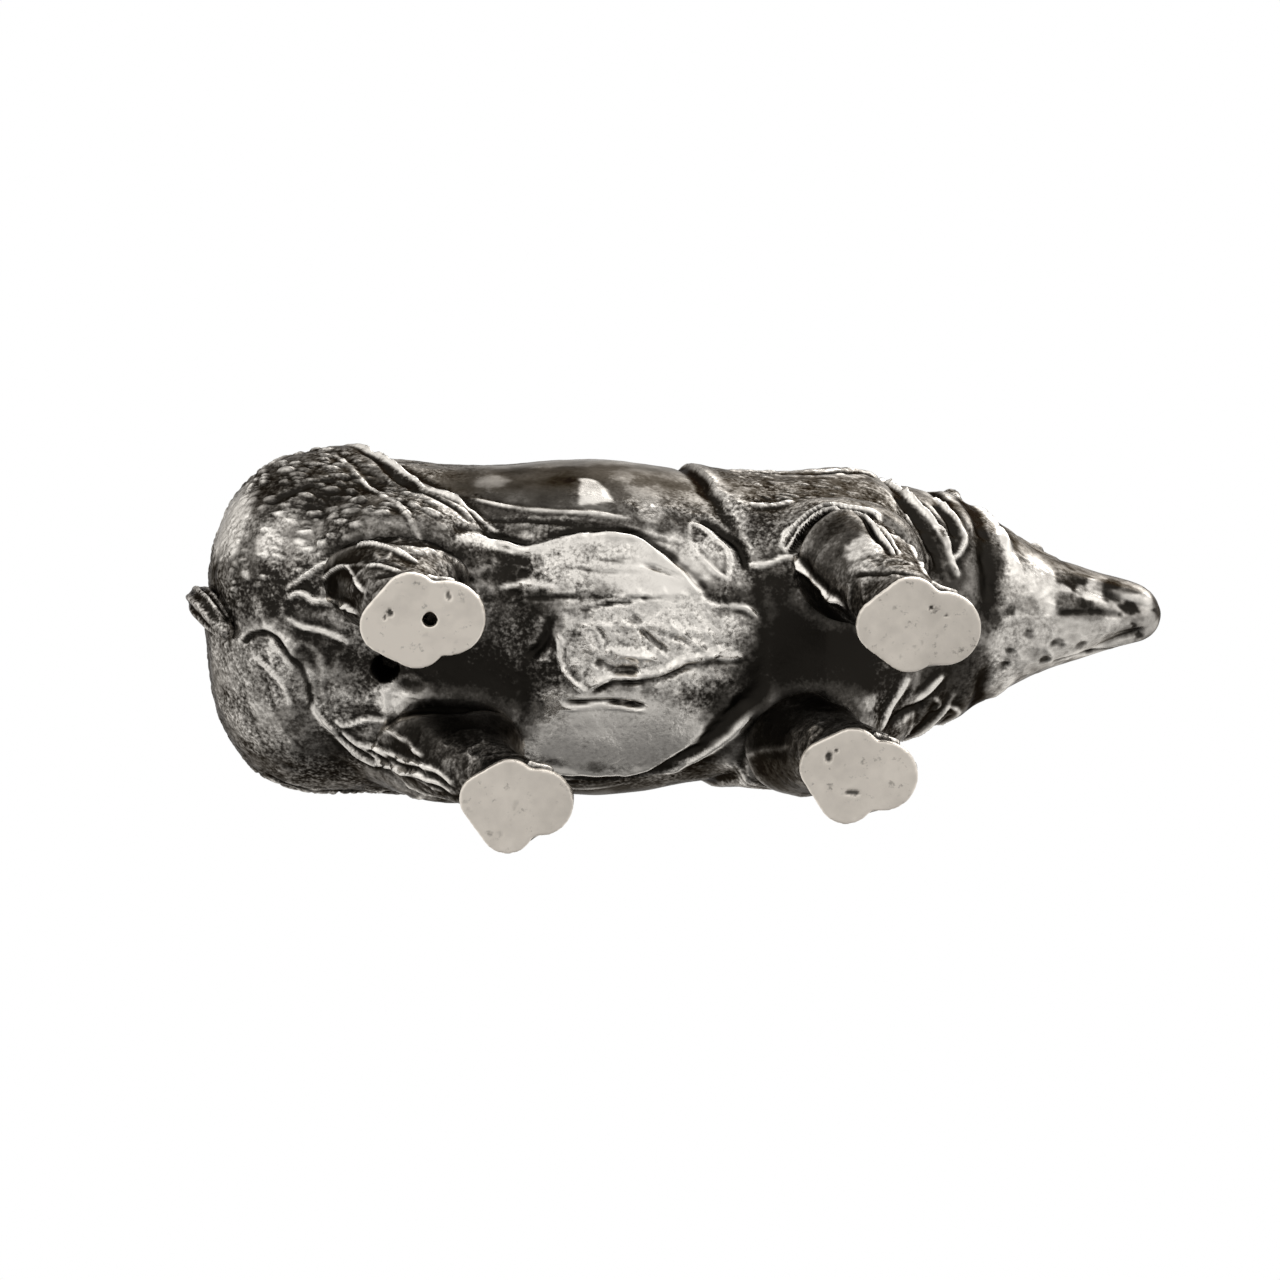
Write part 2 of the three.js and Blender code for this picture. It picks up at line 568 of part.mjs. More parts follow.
const feet = [
  { name: 'fore', side: 'right', leg: FORE_LEG, station: WITHERS, foot: FORE_RIGHT },
  { name: 'fore', side: 'left', leg: FORE_LEG, station: WITHERS, foot: FORE_LEFT },
  { name: 'hind', side: 'right', leg: HIND_LEG, station: LOIN, foot: HIND_RIGHT },
  { name: 'hind', side: 'left', leg: HIND_LEG, station: LOIN, foot: HIND_LEFT },
];
for (const { name, side, leg, station, foot } of feet) {
  const centre = { x: xOf(station) + foot.step, y: foot.out };
  const thigh = { x: xOf(station) + foot.thighStep, y: foot.thighOut };
  const raised = solidOf(legGeometry(leg, foot, centre, thigh));
  place(`${name}leg_${side}`, geometryOf(raised.subtract(hideTool)), silver);
  place(`${name}sole_${side}`, soleGeometry(foot), polished).position.set(centre.x, centre.y, 0);
}

// The origin is on the ground, under the middle of the figure
const bounds = new THREE.Box3().setFromObject(animal);
const middle = bounds.getCenter(new THREE.Vector3());
animal.position.set(-middle.x, -middle.y, -bounds.min.z);

const figurine = new THREE.Group();
figurine.add(animal);
export default figurine;
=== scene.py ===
"""Looks of a walking rhinoceros figurine in oxidised and rubbed cast silver.

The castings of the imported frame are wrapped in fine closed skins, and the ears and soles are finely remeshed.
Folds, scales, wrinkles and nails are real geometry, and the shine of the silver follows the relief."""
import math

import bpy
import numpy as np
from bpy.props import FloatProperty, FloatVectorProperty, PointerProperty
from mathutils import Matrix, Vector
from mathutils.bvhtree import BVHTree
from mathutils.kdtree import KDTree


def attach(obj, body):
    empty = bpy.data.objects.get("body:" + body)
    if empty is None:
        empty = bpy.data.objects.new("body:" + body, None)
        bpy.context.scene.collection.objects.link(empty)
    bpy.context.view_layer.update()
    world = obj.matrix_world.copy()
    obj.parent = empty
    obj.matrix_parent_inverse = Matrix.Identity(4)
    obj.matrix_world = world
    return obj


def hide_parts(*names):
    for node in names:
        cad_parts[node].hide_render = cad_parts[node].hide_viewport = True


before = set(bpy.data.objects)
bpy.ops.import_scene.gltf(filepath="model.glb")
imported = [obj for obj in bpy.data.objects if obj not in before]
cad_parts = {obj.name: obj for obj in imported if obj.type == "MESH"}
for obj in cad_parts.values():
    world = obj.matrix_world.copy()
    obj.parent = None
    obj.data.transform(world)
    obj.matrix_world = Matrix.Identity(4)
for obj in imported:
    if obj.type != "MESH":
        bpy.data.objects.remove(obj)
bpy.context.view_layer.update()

bl_info = {
    "name": "Rhinoceros Figurine",
    "version": (1, 0, 0),
    "blender": (4, 5, 0),
    "location": "View3D > Sidebar > Rhinoceros",
    "description": "Skins the castings of a silver rhinoceros and sets up its studio",
    "category": "Object",
}

MM = 0.001
BODY = "root"

HIDE_NODES = ("rump_shell", "barrel_shell", "shoulder_shell", "neck_shell", "head_shell")
HIDE_NAMES = ("rump_hide", "barrel_hide", "shoulder_hide", "neck_hide", "head_hide")
LEG_NODES = ("foreleg_right", "foreleg_left", "hindleg_right", "hindleg_left")
SOLE_NODES = ("foresole_right", "foresole_left", "hindsole_right", "hindsole_left")
EAR_NODES = ("ear_right", "ear_left")

# Spine the hide is wrapped round, from haunch to nose, in millimetres.
SPINE = (
    (-58, 0, 57), (-36, 0, 54), (-14, 0, 53), (8, 0, 53), (24, 0, 54), (38, -1, 57), (52, -1.5, 60),
    (73, -0.8, 59),
)
HIDE_COLUMNS = 448
# How far a casting's closed end is drawn in at a seam, towards the spine and along it, in millimetres.
SEAM_TUCK = 3.5
SEAM_SHIFT = 0.2
# Reach over which the directions of the relief are evened, in millimetres.
EVEN_REACH = 1.6
# Foot and thigh centres of each leg, in millimetres.
LEG_AXES = {
    "foreleg_right": ((36.6, -12.2, 1.75), (35.5, -12.6, 10), (27.4, -15.2, 37), (27.4, -15.2, 43)),
    "foreleg_left": ((27.7, 10.8, 1.75), (26.7, 11.2, 10), (19.4, 14.4, 37), (19.4, 14.4, 43)),
    "hindleg_right": ((-39.4, -13.1, 1.75), (-40, -13.5, 10), (-44.6, -13.4, 38), (-44.6, -11, 43)),
    "hindleg_left": ((-25.2, 15.4, 1.75), (-26.5, 15.3, 10), (-37.6, 13.2, 38), (-37.6, 11, 43)),
}
LEG_COLUMNS = 224
# How far each foot is turned, in degrees.
FOOT_TURN = {"foreleg_right": 3, "foreleg_left": 9, "hindleg_right": -8, "hindleg_left": 4}
# Height at which the legs meet their soles, in millimetres.
SOLE_TOP = 1.42
# How bright each sole is polished.
SOLE_SHINE = {"foresole_right": 0.78, "foresole_left": 0.84, "hindsole_right": 0.93, "hindsole_left": 0.85}
# Axis of the horn, from root to tip, in millimetres.
HORN_AXIS = (
    (71.4, -0.8, 66), (72, -0.8, 71), (71.9, -0.8, 75), (70.7, -0.8, 79), (69.2, -0.8, 81.4),
    (68.5, -0.8, 82.3),
)
# Heights, along the animal, of the hems where the hide ends over the right legs. Over the left legs they are
# moved by a step.
HIND_HEM = (
    (-64, 34), (-59, 32), (-56, 30), (-53, 27), (-50, 25), (-47, 23.5), (-44, 22.5), (-41, 22.5),
    (-36, 25), (-30, 31),
)
FORE_HEM = (
    (10, 33), (16, 31), (19, 30), (22, 31.5), (25, 33), (28, 32.5), (30, 29.5), (33, 26), (42, 28),
)
# How far the left legs stand ahead of the right ones, in millimetres.
HIND_STEP = 7.0
FORE_STEP = -8.0
# Axis of the tail, from tuft to root, in millimetres.
TAIL_AXIS = (
    (-73.2, -3.4, 36.4), (-75.4, -5.3, 40), (-77.2, -6, 43.3), (-78.8, -4.8, 52.5), (-78.9, -1.8, 61.7),
    (-77.3, 0, 69.3), (-74, 0, 72.8),
)

# Lines of the hide, in millimetres: kind, height, width and points. The hollow of a fold lies to the right
# of its line, seen from outside.
BODY_LINES = (
    ("fold", 0.8, 0.65, ((4, -11, 28), (2, -13, 29), (-1, -16, 30), (-4, -18, 31), (-9, -20, 32),
                         (-12, -20, 32), (-19, -19, 32), (-23, -18, 31), (-28, -18, 33), (-33, -19.5, 32),
                         (-35, -20, 29))),
    ("groove", 0.35, 0.4, ((-25, -22, 35), (-16, -21, 33.5), (-6, -20, 33), (1, -18, 32))),
    ("groove", 0.3, 0.35, ((-30, -21.5, 36), (-20, -21.5, 34.5), (-11, -21, 34))),
    ("crest", 0.35, 0.4, ((-33, -24, 41), (-24, -23, 37), (-16, -23, 35.5), (-8, -22, 35))),
    ("crest", 0.9, 0.5, ((-55, -29, 64), (-52, -29, 60), (-49, -29, 55), (-44, -28, 47), (-39, -25, 40),
                         (-34, -22, 38), (-29, -20, 34))),
    ("groove", 0.5, 0.6, ((-51, -28.5, 56), (-46, -27, 46), (-41.5, -24, 40), (-37, -22, 36),
                          (-33, -20.5, 34))),
    ("crest", 0.5, 0.4, ((-57, -28, 58), (-52, -27, 47), (-48, -24, 41), (-44, -23, 33), (-42, -22, 28),
                         (-40, -20, 24))),
)
RIGHT_LINES = (
    ("crest", 0.5, 0.45, ((2, -21, 36), (5, -20, 35), (8, -18, 33), (9, -15, 31), (8, -13, 30))),
    ("crest", 0.4, 0.4, ((8, -13, 30), (6, -14, 30), (4, -16, 31), (2, -18, 32), (2, -21, 36))),
    ("groove", 0.6, 0.6, ((4, -21.5, 36.5), (7.5, -20, 35), (10.5, -17, 33), (11, -14.5, 31.5))),
    ("crest", 0.6, 0.5, ((12, -23, 40), (15, -23, 40), (19, -23, 42))),
    ("crest", 0.6, 0.45, ((19, -17, 30), (17, -16, 32), (14, -15, 31), (11, -15, 32))),
    ("crest", 0.5, 0.4, ((17, -17, 33), (17, -19, 35), (19, -21, 34))),
    ("crest", 0.4, 0.5, ((4, -10, 28), (7, -9, 28), (11, -9, 29), (13, -7, 29))),
)
BELLY_LINES = (
    ("groove", 0.6, 0.35, ((-15, -9, 26), (-11, -10, 26), (-7, -10, 27))),
    ("crest", 0.35, 0.4, ((-16, -11, 27), (-6, -11, 27), (2, -11, 28))),
    ("groove", 0.35, 0.35, ((-10, -17, 29), (-6, -16, 30), (-3, -15, 29))),
    ("crest", 0.5, 0.6, ((-28, -12, 28), (-23, -13, 28), (-19, -12, 27))),
    ("crest", 0.8, 0.42, ((-19, -5, 26), (-19, -3, 25), (-19, 0, 25), (-18, 2, 25), (-15, 4, 25))),
    ("fold", 0.8, 0.5, ((-14, 4, 25), (-11, 2, 25), (-6, 2, 25), (-2, 1, 26), (2, -1, 26), (7, -1, 27),
                        (10, -1, 27))),
    ("crest", 0.8, 0.9, ((-10, -2, 25), (-6, -2, 25), (-3, -1, 26))),
    ("groove", 0.8, 0.7, ((-13, -0.5, 25), (-10, 0.5, 25), (-6, 0.6, 25))),
    ("crest", 0.4, 0.5, ((-16, -6, 26), (-11, -6.5, 26), (-5, -6, 26))),
    ("groove", 0.5, 0.5, ((-8, -7.5, 26.5), (-4, -4.5, 26), (-1, -2, 26))),
    ("crest", 0.5, 0.5, ((-2, -7, 27), (2, -4, 26), (5, -2, 27))),
    ("groove", 1.1, 0.36, ((-18, 6, 26), (-14, 6, 25), (-10, 6, 26), (-5, 6.8, 26))),
    ("crest", 0.45, 0.24, ((-19, 7.0, 26), (-12, 7.0, 26), (-4, 7.6, 26.5))),
    ("groove", 0.5, 0.35, ((-25, -10.6, 28), (-19, -10.8, 27), (-12, -10.8, 27), (-6, -10.8, 27),
                           (0, -10.8, 28))),
    ("groove", 0.4, 0.3, ((-13, -16.5, 29.5), (-8, -16, 29), (-3, -15, 29), (1, -13, 29))),
    ("groove", 0.3, 0.3, ((-18, -15, 29), (-12, -14.6, 28.5), (-6, -14, 28.5))),
    ("groove", 0.4, 0.3, ((-8, -8.5, 27), (-5, -6, 26.5), (-1, -4.5, 26.5), (3, -3, 27))),
    ("groove", 0.35, 0.3, ((-14, -7, 26.5), (-11, -4.5, 26), (-12, -2, 25.5))),
    ("groove", 0.8, 1.2, ((-3, 20, 31), (3, 15, 29), (8, 9, 28), (13, 5, 28))),
    ("crest", 0.5, 0.7, ((-1, 22, 32), (6, 16, 29), (12, 9, 28))),
    ("groove", 0.6, 0.8, ((-24, -1, 26), (-21, -4, 26), (-20, -8, 26))),
)
SLEEVE_LINES = (
    ("double", 1.0, 0.4, ((17.5, -17, 32), (18.5, -19, 33), (20.5, -21.5, 34), (23, -24, 35),
                          (25, -24, 35), (28, -25, 34), (29.5, -24, 32), (31, -23, 28), (33, -22, 24))),
)
THIGH_LINES = (
    ("crest", 1.0, 0.42, ((-62.5, -11, 31), (-58, -14, 32), (-55, -17, 28), (-51, -20, 24.5),
                          (-47, -20.5, 22.5), (-44, -20, 20), (-41, -19, 17))),
    ("crest", 1.0, 0.48, ((-62, -10, 31), (-61, -11, 31), (-60, -11, 31), (-58, -9.5, 30),
                          (-54, -10.5, 24))),
)
# Lines of the right legs. The left legs have the same, moved along the animal.
FORELEG_LINES = (
    ("crest", 0.9, 0.6, ((17.5, -17, 32), (18.5, -16, 30.5), (20, -15, 28), (22, -13.5, 24),
                         (24, -12.5, 22), (26, -11.5, 18))),
    ("double", 0.8, 0.4, ((26, -24.5, 35), (28, -25, 34), (29.5, -24, 31.5), (31, -23, 27),
                          (33, -21.5, 22), (34, -20.5, 18))),
    ("groove", 0.4, 0.5, ((26, -18, 15), (31, -20, 11.5), (37, -19, 10))),
    ("crest", 0.4, 0.7, ((40, -8, 14), (42, -12, 12), (40, -17, 12))),
    ("crest", 0.45, 0.45, ((34.5, -19, 30), (37, -18.5, 25), (38, -18, 20), (38.5, -17.5, 13))),
)
HINDLEG_LINES = (
    ("crest", 0.6, 0.38, ((-57, -12, 31), (-54, -16, 25), (-52, -17, 22), (-49, -15, 13))),
    ("crest", 0.5, 0.38, ((-52, -17, 22), (-48, -18, 17), (-43, -18, 13))),
    ("crest", 0.9, 0.48, ((-58, -9.5, 30), (-54, -10.5, 24), (-50, -11.5, 15))),
    ("crest", 0.8, 0.42, ((-51, -20, 24.5), (-47, -20.5, 22.5), (-44, -20, 20), (-41, -19, 17))),
    ("groove", 0.4, 0.5, ((-48, -19, 12), (-43, -21, 11), (-36, -18, 10))),
)
REAR_LINES = (
    ("crest", 0.5, 0.5, ((-62, -7, 30), (-60, -5, 30), (-56, -5, 29), (-52, -3, 29))),
    ("groove", 0.9, 0.45, ((-70, -2, 33), (-68, -4, 32), (-65, -4, 30), (-63, -1, 29), (-60, 1, 29),
                           (-59, 5, 29), (-59, 8, 30))),
    ("crest", 0.3, 0.45, ((-68, 0, 32), (-64, 3, 30), (-62, 8, 30))),
    ("crest", 0.9, 0.5, ((-59, 7, 30), (-57, 11, 30), (-54, 14, 31), (-50, 17, 32), (-44, 16.5, 22),
                         (-39, 16, 15), (-36, 17.5, 13))),
    ("crest", 0.7, 0.5, ((-54, 12, 30), (-51, 14, 31), (-44, 14.6, 22), (-39, 14, 15), (-36, 16, 12))),
    ("groove", 0.2, 0.35, ((-70, 4, 34), (-69, 9, 34), (-67, 15, 35))),
    ("groove", 0.2, 0.35, ((-66, 3, 32), (-64, 9, 32), (-61, 15, 33))),
)
BACK_LINES = (
    ("groove", 0.6, 1.0, ((-58, -28, 66), (-66, -23, 68), (-73, -13, 69), (-77, -4, 69))),
    ("crest", 0.3, 1.6, ((-58, -28, 69), (-66, -22, 71), (-73, -12, 72))),
    ("groove", 0.6, 1.0, ((6, -26, 62), (15, -25, 58), (25, -24, 57), (34, -22, 60))),
    ("crest", 0.3, 1.6, ((7, -25, 65), (16, -24, 61), (26, -23, 60), (34, -21, 63))),
    ("groove", 0.4, 0.8, ((-50, -29, 46), (-58, -27, 44), (-66, -22, 42))),
)
NECK_LINES = (
    ("crest", 1.3, 0.6, ((34, -23, 66), (36, -22, 60), (38, -22, 53), (40, -21, 51), (42, -19, 48),
                         (43, -17, 47), (44, -15, 46), (45, -13, 45), (46, -10, 45))),
    ("groove", 1.0, 1.0, ((36.5, -21, 52), (39, -19, 47), (41, -15.5, 44.5), (42.5, -11, 43.5))),
    ("crest", 0.6, 0.4, ((37, -19.5, 48), (38, -18, 47), (39, -16, 44), (38.5, -12, 41))),
    ("crest", 0.9, 0.45, ((43, -20, 58), (45, -19, 53), (47, -18, 50), (48, -16, 48), (47, -15, 47),
                          (46, -13, 46), (45, -13, 45))),
    ("groove", 0.8, 0.6, ((43, -20, 54), (44.5, -18, 50), (45.5, -16, 48))),
    ("groove", 0.7, 1.5, ((48, -19.8, 62), (50, -17, 54), (51, -12, 48), (51, -6, 45.5))),
    ("groove", 1.0, 0.9, ((42.5, -22, 66), (43.5, -20.8, 60), (45, -20, 56))),
    ("crest", 0.7, 1.2, ((50, -18.5, 66), (53, -17, 60), (54, -15, 55), (55, -13, 51), (55.5, -11, 50),
                         (56, -9, 49))),
)
CHEST_LINES = (
    ("crest", 0.6, 0.7, ((33, 13, 37), (34, 11, 37), (36, 9, 38), (37, 7, 38), (38, 5, 38))),
    ("crest", 0.5, 0.7, ((39, 10, 40), (41, 9, 41), (43, 7, 41.5), (44, 6, 42))),
    ("crest", 0.4, 0.5, ((43, 10, 42), (44, 12, 45), (42, 13, 43))),
    ("groove", 0.5, 0.8, ((35, 13, 38.5), (38, 11, 40), (41, 11, 42))),
)
FACE_LINES = (
    ("groove", 0.12, 0.6, ((66, -8, 57), (64, -9.5, 60), (65, -9.5, 63))),
    ("groove", 0.3, 0.5, ((54, -14, 64), (57, -12, 67.5), (62, -10, 67))),
    ("groove", 0.15, 0.5, ((55, -13.5, 61), (58, -12.5, 59.5), (63, -10, 60.5))),
    ("crest", 0.4, 0.6, ((55, -13, 66), (59, -11, 67.5), (63, -9.5, 66))),
)
MUZZLE_LINES = (
    ("groove", 0.3, 0.6, ((63, -3, 49), (66, -3, 50), (68, -3, 51), (71, -2.4, 52), (74, -2, 53))),
    ("groove", 0.3, 0.4, ((63, 6.5, 51), (68, 6, 52.5), (74, 4.5, 55))),
    ("crest", 0.15, 0.8, ((66, -5, 51.5), (71, -4.6, 53), (75, -4, 54.5))),
)
# Small sunk pores: place and radius, in millimetres.
PORES = (
    ((55, -4, 47), 0.9), ((58, 0, 47), 0.9), ((63, 2, 49), 1.0), ((61, 5, 50), 0.9), ((67, 3, 51), 0.9),
    ((69, 5, 54), 0.7), ((55, 3, 47), 0.8), ((54, 5, 48), 0.8), ((76, 0, 53), 0.6), ((77, 2, 55), 0.6),
    ((80, -2, 55), 0.6),
)
# How far the left and right side of the muzzle are drawn in, in millimetres.
MUZZLE_DRAW = (0.8, 0.4)
# Middles of the nostrils and of the eyes, in millimetres.
NOSTRILS = ((77.6, -4.6, 60.5), (77.6, 3.0, 60.5))
EYES = ((60.4, -10.5, 63.8), (60.4, 8.5, 63.8))
# Spread of an eye along, across and up, where 1 is round.
EYE_SHAPE = (1.3, 1.0, 0.85)
# Middle and radius of the casting vent in the groin, in millimetres.
VENT = ((-46.6, 1.0, 29.0), 2.35)
# Sunk blemishes of the soles: sole, place, and reach along and across, in millimetres.
SOLE_PITS = (
    ("foresole_left", (23.2, 8.2), (0.75, 0.95)), ("foresole_left", (26.8, 14.0), (1.5, 0.5)),
    ("foresole_left", (24.4, 7.2), (0.3, 0.3)), ("hindsole_right", (-44.2, -14.6), (0.5, 0.7)),
    ("hindsole_right", (-45.0, -13.8), (0.3, 0.4)), ("hindsole_right", (-35.2, -17.2), (0.5, 0.9)),
    ("foresole_right", (38.6, -15.4), (0.35, 0.3)), ("foresole_right", (41.0, -14.2), (0.3, 0.25)),
)
# Soft spots of the hide, each by its middle, reach and amount. First, bright spots: where hands have rubbed it
# bright, and painted highlights and reflections.
RUBBED_AND_HIGHLIGHTS = (
    ((-7, -15.5, 30), (17, 5.5, 5), 0.58),
    ((-3, -14, 28), (9, 3, 4), 0.95),
    ((-24, -18.3, 32), (9, 1.6, 2.2), 0.5),
    ((-4, -4, 26), (15, 8, 5), 0.86),
    ((-11, 11, 28), (14, 8, 6), 0.78),
    ((-9, 14, 29), (8, 5, 4), 0.9),
    ((-73, -19, 48), (5, 6, 10), 0.7),
    ((-62, -18, 36), (5, 5, 5), 0.42),
    ((-70, 6, 35), (9, 11, 8), 0.3),
    ((-64, 0, 31), (3, 6, 3), 0.4),
    ((-44.5, 5.8, 28), (4, 2.4, 3), 0.62),
    ((-55, 5, 30), (6, 6, 4), 0.2),
    ((62, -1, 51), (15, 12, 8), 0.48),
    ((78, -3, 56), (5, 6, 5), 0.36),
    ((-30, -27, 46), (3, 2.5, 3), 0.35),
    ((-18, -28.5, 56), (22, 3, 4.5), 0.3),
    ((-4, -22.5, 37), (2, 2, 2.2), 0.4),
    ((5, -17.5, 33), (1.6, 2, 2), 0.5),
    ((68, -7, 54), (1.8, 1, 1.5), 0.4),
    ((78.6, -4, 55), (1.3, 1.2, 1.5), 0.5),
    ((31, 8, 34), (2, 1.3, 1.5), 0.55),
    ((37, 9, 39), (5, 5, 4), 0.18),
    ((29, -20, 19), (3, 3, 5), 0.6),
    ((56, 0, 76), (20, 10, 6), 0.3),
    ((-10, 0, 80), (40, 12, 6), 0.25),
)
# Where the hide is smooth.
SMOOTH = (
    ((-16, -26, 48), (25, 8, 13), 1.0),
    ((-16, 26, 48), (25, 8, 13), 1.0),
    ((-15, 0, 80), (36, 22, 12), 0.75),
    ((-3, -14, 28.5), (10, 3.5, 4), 0.85),
    ((-10, 12, 29), (14, 7, 6), 0.4),
    ((67, 0, 57), (18, 18, 15), 0.85),
    ((-60, -22, 48), (16, 10, 18), 0.35),
    ((44, 0, 52), (9, 24, 18), 0.75),
    ((22, 0, 29), (12, 12, 9), 0.85),
    ((24, -24, 48), (12, 6, 10), 0.5),
    ((-34, 9, 24), (12, 10, 9), 0.9),
    ((15, 13, 26), (11, 10, 10), 0.85),
    ((-53, -16, 25), (6, 5, 7), 0.85),
    ((26, -19, 26), (7, 6, 9), 0.7),
)
# Where the hide is crumpled.
CRUMPLED = (
    ((-6, -4, 26), (14, 8, 6), 1.0),
    ((-28, -14, 29), (8, 4, 4), 0.9),
    ((-60, -4, 31), (9, 10, 6), 0.8),
    ((-66, 10, 34), (9, 11, 8), 0.3),
    ((-44, 6, 28), (7, 5, 4), 0.9),
    ((38, -14, 44), (8, 8, 8), 0.6),
    ((60, 0, 50), (13, 12, 6), 0.4),
)
# Where the oxide stayed, with painted shade between the legs, at the chest and groin and under the jaw, and a
# painted dark reflection on the right flank.
OXIDE_AND_SHADE = (
    ((22, 0, 29), (11, 11, 9), 0.97),
    ((12, 9, 27), (7, 7, 6), 0.8),
    ((16, 12, 26), (9, 8, 8), 0.8),
    ((-33, 7, 27), (10, 9, 7), 0.85),
    ((-36, 9, 22), (9, 6, 8), 0.8),
    ((-22, -5, 26), (4, 7, 3), 0.6),
    ((-30, -15.5, 29.5), (7, 3, 3), 0.85),
    ((-22, -26.5, 47), (18, 5, 9), 0.32),
    ((-20, -25.5, 42), (4, 3, 5), 0.5),
    ((51, -10, 47.5), (3, 9, 4.5), 0.85),
    ((40.5, -14, 45), (2, 6, 4), 0.75),
    ((45, -17.5, 50), (1.5, 2.5, 3.5), 0.8),
    ((47, -20, 56), (1.6, 2.5, 4), 0.8),
    ((46, 9, 43), (6, 9, 7), 0.6),
    ((-52, -18, 23), (6, 3, 5), 0.9),
    ((-56, -13, 27), (4, 2.6, 5), 0.9),
    ((-55, -24, 42), (6, 4, 8), 0.45),
    ((25, -22.5, 30), (5, 3.5, 5), 0.75),
    ((17, -12, 28), (5, 3, 4), 0.8),
    ((30, -4, 36), (9, 9, 6), 0.8),
    ((69, -9.5, 56.5), (9, 2, 3), 0.4),
    ((68.5, -3.0, 50.7), (6.5, 1.6, 1.8), 0.5),
    ((64.5, -4.2, 50.3), (2.2, 2.0, 2.0), 0.6),
    ((74.5, -6.1, 55.3), (4.8, 1.3, 1.8), 0.5),
    ((80.5, -3, 57), (1.4, 3, 2.5), 0.6),
)
# A painted reflection: a bright facet on the right flank, by its corners along and up, going clockwise from the
# top.
GLINT = ((-15.6, 45.0), (-13.5, 44.2), (-11.3, 41.0), (-10.0, 37.8), (-15.6, 37.0))
# Where the oxide stayed in specks only.
MOTTLED = (
    ((70.5, -5.3, 53.3), (10, 4.4, 4.5), 0.95),
    ((56, -3, 47.5), (4, 5, 4), 0.2),
    ((37, 9, 40), (8, 7, 6), 0.45),
    ((27, -21, 22), (5, 4, 8), 0.5),
)
# Seeds of the ragged edges of these spots.
RUBBED_AND_HIGHLIGHTS_SEED = 53
OXIDE_AND_SHADE_SEED = 57
MOTTLED_SEED = 67
SMOOTH_SEED = 37
CRUMPLED_SEED = 39

# Lines that both sides have: how far they are moved and what share of their height they keep on the left.
PAIRED_HIDE_LINES = (
    (BODY_LINES, 1.5, 0.6),
    (SLEEVE_LINES, FORE_STEP, 0.2),
    (THIGH_LINES, HIND_STEP, 0.6),
    (BACK_LINES, -1.0, 1.0),
    (NECK_LINES, 0.5, 0.5),
    (FACE_LINES, 0.0, 1.0),
)
SINGLE_HIDE_LINES = RIGHT_LINES + BELLY_LINES + REAR_LINES + MUZZLE_LINES + CHEST_LINES
PAIRED_LEG_LINES = (
    (FORELEG_LINES, FORE_STEP, 0.2),
    (HINDLEG_LINES, HIND_STEP, 0.5),
)
# Shape across each kind of line, as bells: side, share of the height, and place and reach in line widths.
PROFILES = {
    "crest": (("both", 0.6, 0.0, 1.0), ("both", 0.4, 0.0, 0.5), ("both", -0.15, 2.0, 1.0)),
    "groove": (("both", 0.25, 0.0, 2.4), ("both", -1.25, 0.0, 1.0)),
    "fold": (("left", 1.0, 0.0, 1.7), ("right", 1.0, 0.0, 0.8), ("right", -0.7, 1.8, 0.9)),
    "double": (("both", 1.0, 0.0, 0.8), ("left", 0.6, 2.6, 0.8), ("left", -0.5, 1.4, 0.6),
               ("right", -0.7, 1.8, 0.9)),
}
LINE_SEED = 11
# How far lines wander, and how long their waves are, in millimetres.
LINE_WANDER = (0.3, 3.1)
# How lines swell along their run: usual share, limits, and waves by share, length and seed.
LINE_SWELL = 0.9
LINE_SWELL_LIMITS = (0.3, 1.4)
LINE_SWELL_WAVES = ((0.6, 3.6, LINE_SEED + 5), (0.4, 1.4, LINE_SEED + 6))
# Lines nearer than this to the skin are laid on it, in millimetres.
LINE_SNAP = 5.0
# How far a line's shape reaches, in its widths, and the share of that at which it lets go.
LINE_SPAN = 4.5
LINE_LET_GO = 0.7
# How steeply lines taper to their ends, and the share of height that is left there.
LINE_TAPER = 6.0
LINE_TIP = 0.15
# How strongly lines mark the silver, by their shape, their height and their swell.
LINE_MARK = 1.9
LINE_MARK_HEIGHT = 1.3
LINE_MARK_SWELL = (0.5, 1.1)

# Whole numbers that scramble a place into a repeatable number.
HASH_STEPS = (73856093, 19349663, 83492791)
HASH_SEED = 2654435
HASH_ROUNDS = ((15, 2246822519), (13, 3266489917))
HASH_SHIFT = 16
HASH_MASK = 0xFFFFFFFF
# Layers of noise: how far apart their seeds are, and what their sum is divided by.
LAYER_SEED = 7
LAYER_TOTAL = 1.5
TINY = 1e-9

# Directions in the frame.
AHEAD, BACK, UP, DOWN = (1, 0, 0), (-1, 0, 0), (0, 0, 1), (0, 0, -1)
# Rows over a closed end of a skin: the fewest, and how many for each step of its reach.
CAP_ROWS = 5
CAP_ARC = 1.9
# How near its axis a ray may come before it counts as lost, in millimetres.
RAY_STOP = 1.0
# Spreads over which lost places of a skin are filled, and how much has to be known round them.
FILL_SPREADS = (2, 4, 8, 16, 32, 64)
FILL_TRUST = 0.12
# Length of the rays shot at each casting, in millimetres.
HIDE_RAY, LEG_RAY, HORN_RAY, TAIL_RAY = 90.0, 40.0, 30.0, 20.0
# Where the hind hems end and the fore hems begin, along the animal, in millimetres.
HEM_SPLIT = -5
# Part of the bake layer, from bottom to top, that the rows of a skin take up.
BAKE_ROWS = (0.02, 0.98)

# Rows and columns over which a seam is evened, and columns over which its outward facing is.
SEAM_EVEN = (0.01, 2.5)
SEAM_FACING = 8
# For each seam: if its lip lies ahead, height and width in millimetres, and share of height at the belly.
SEAM_FOLDS = (
    (False, 0.5, 1.2, 0.15),
    (True, 0.6, 1.2, 0.2),
    (False, 0.3, 1.2, 0.3),
    (True, 0.1, 1.0, 0.25),
)
# How the folds at the seams wander and swell, by strength, wave and seed, and where they meet the belly.
SEAM_WANDER = (0.5, 4.0, 71)
SEAM_SWELL = (0.3, 6.0, 73)
SEAM_BELLY = (0.75, 0.97)
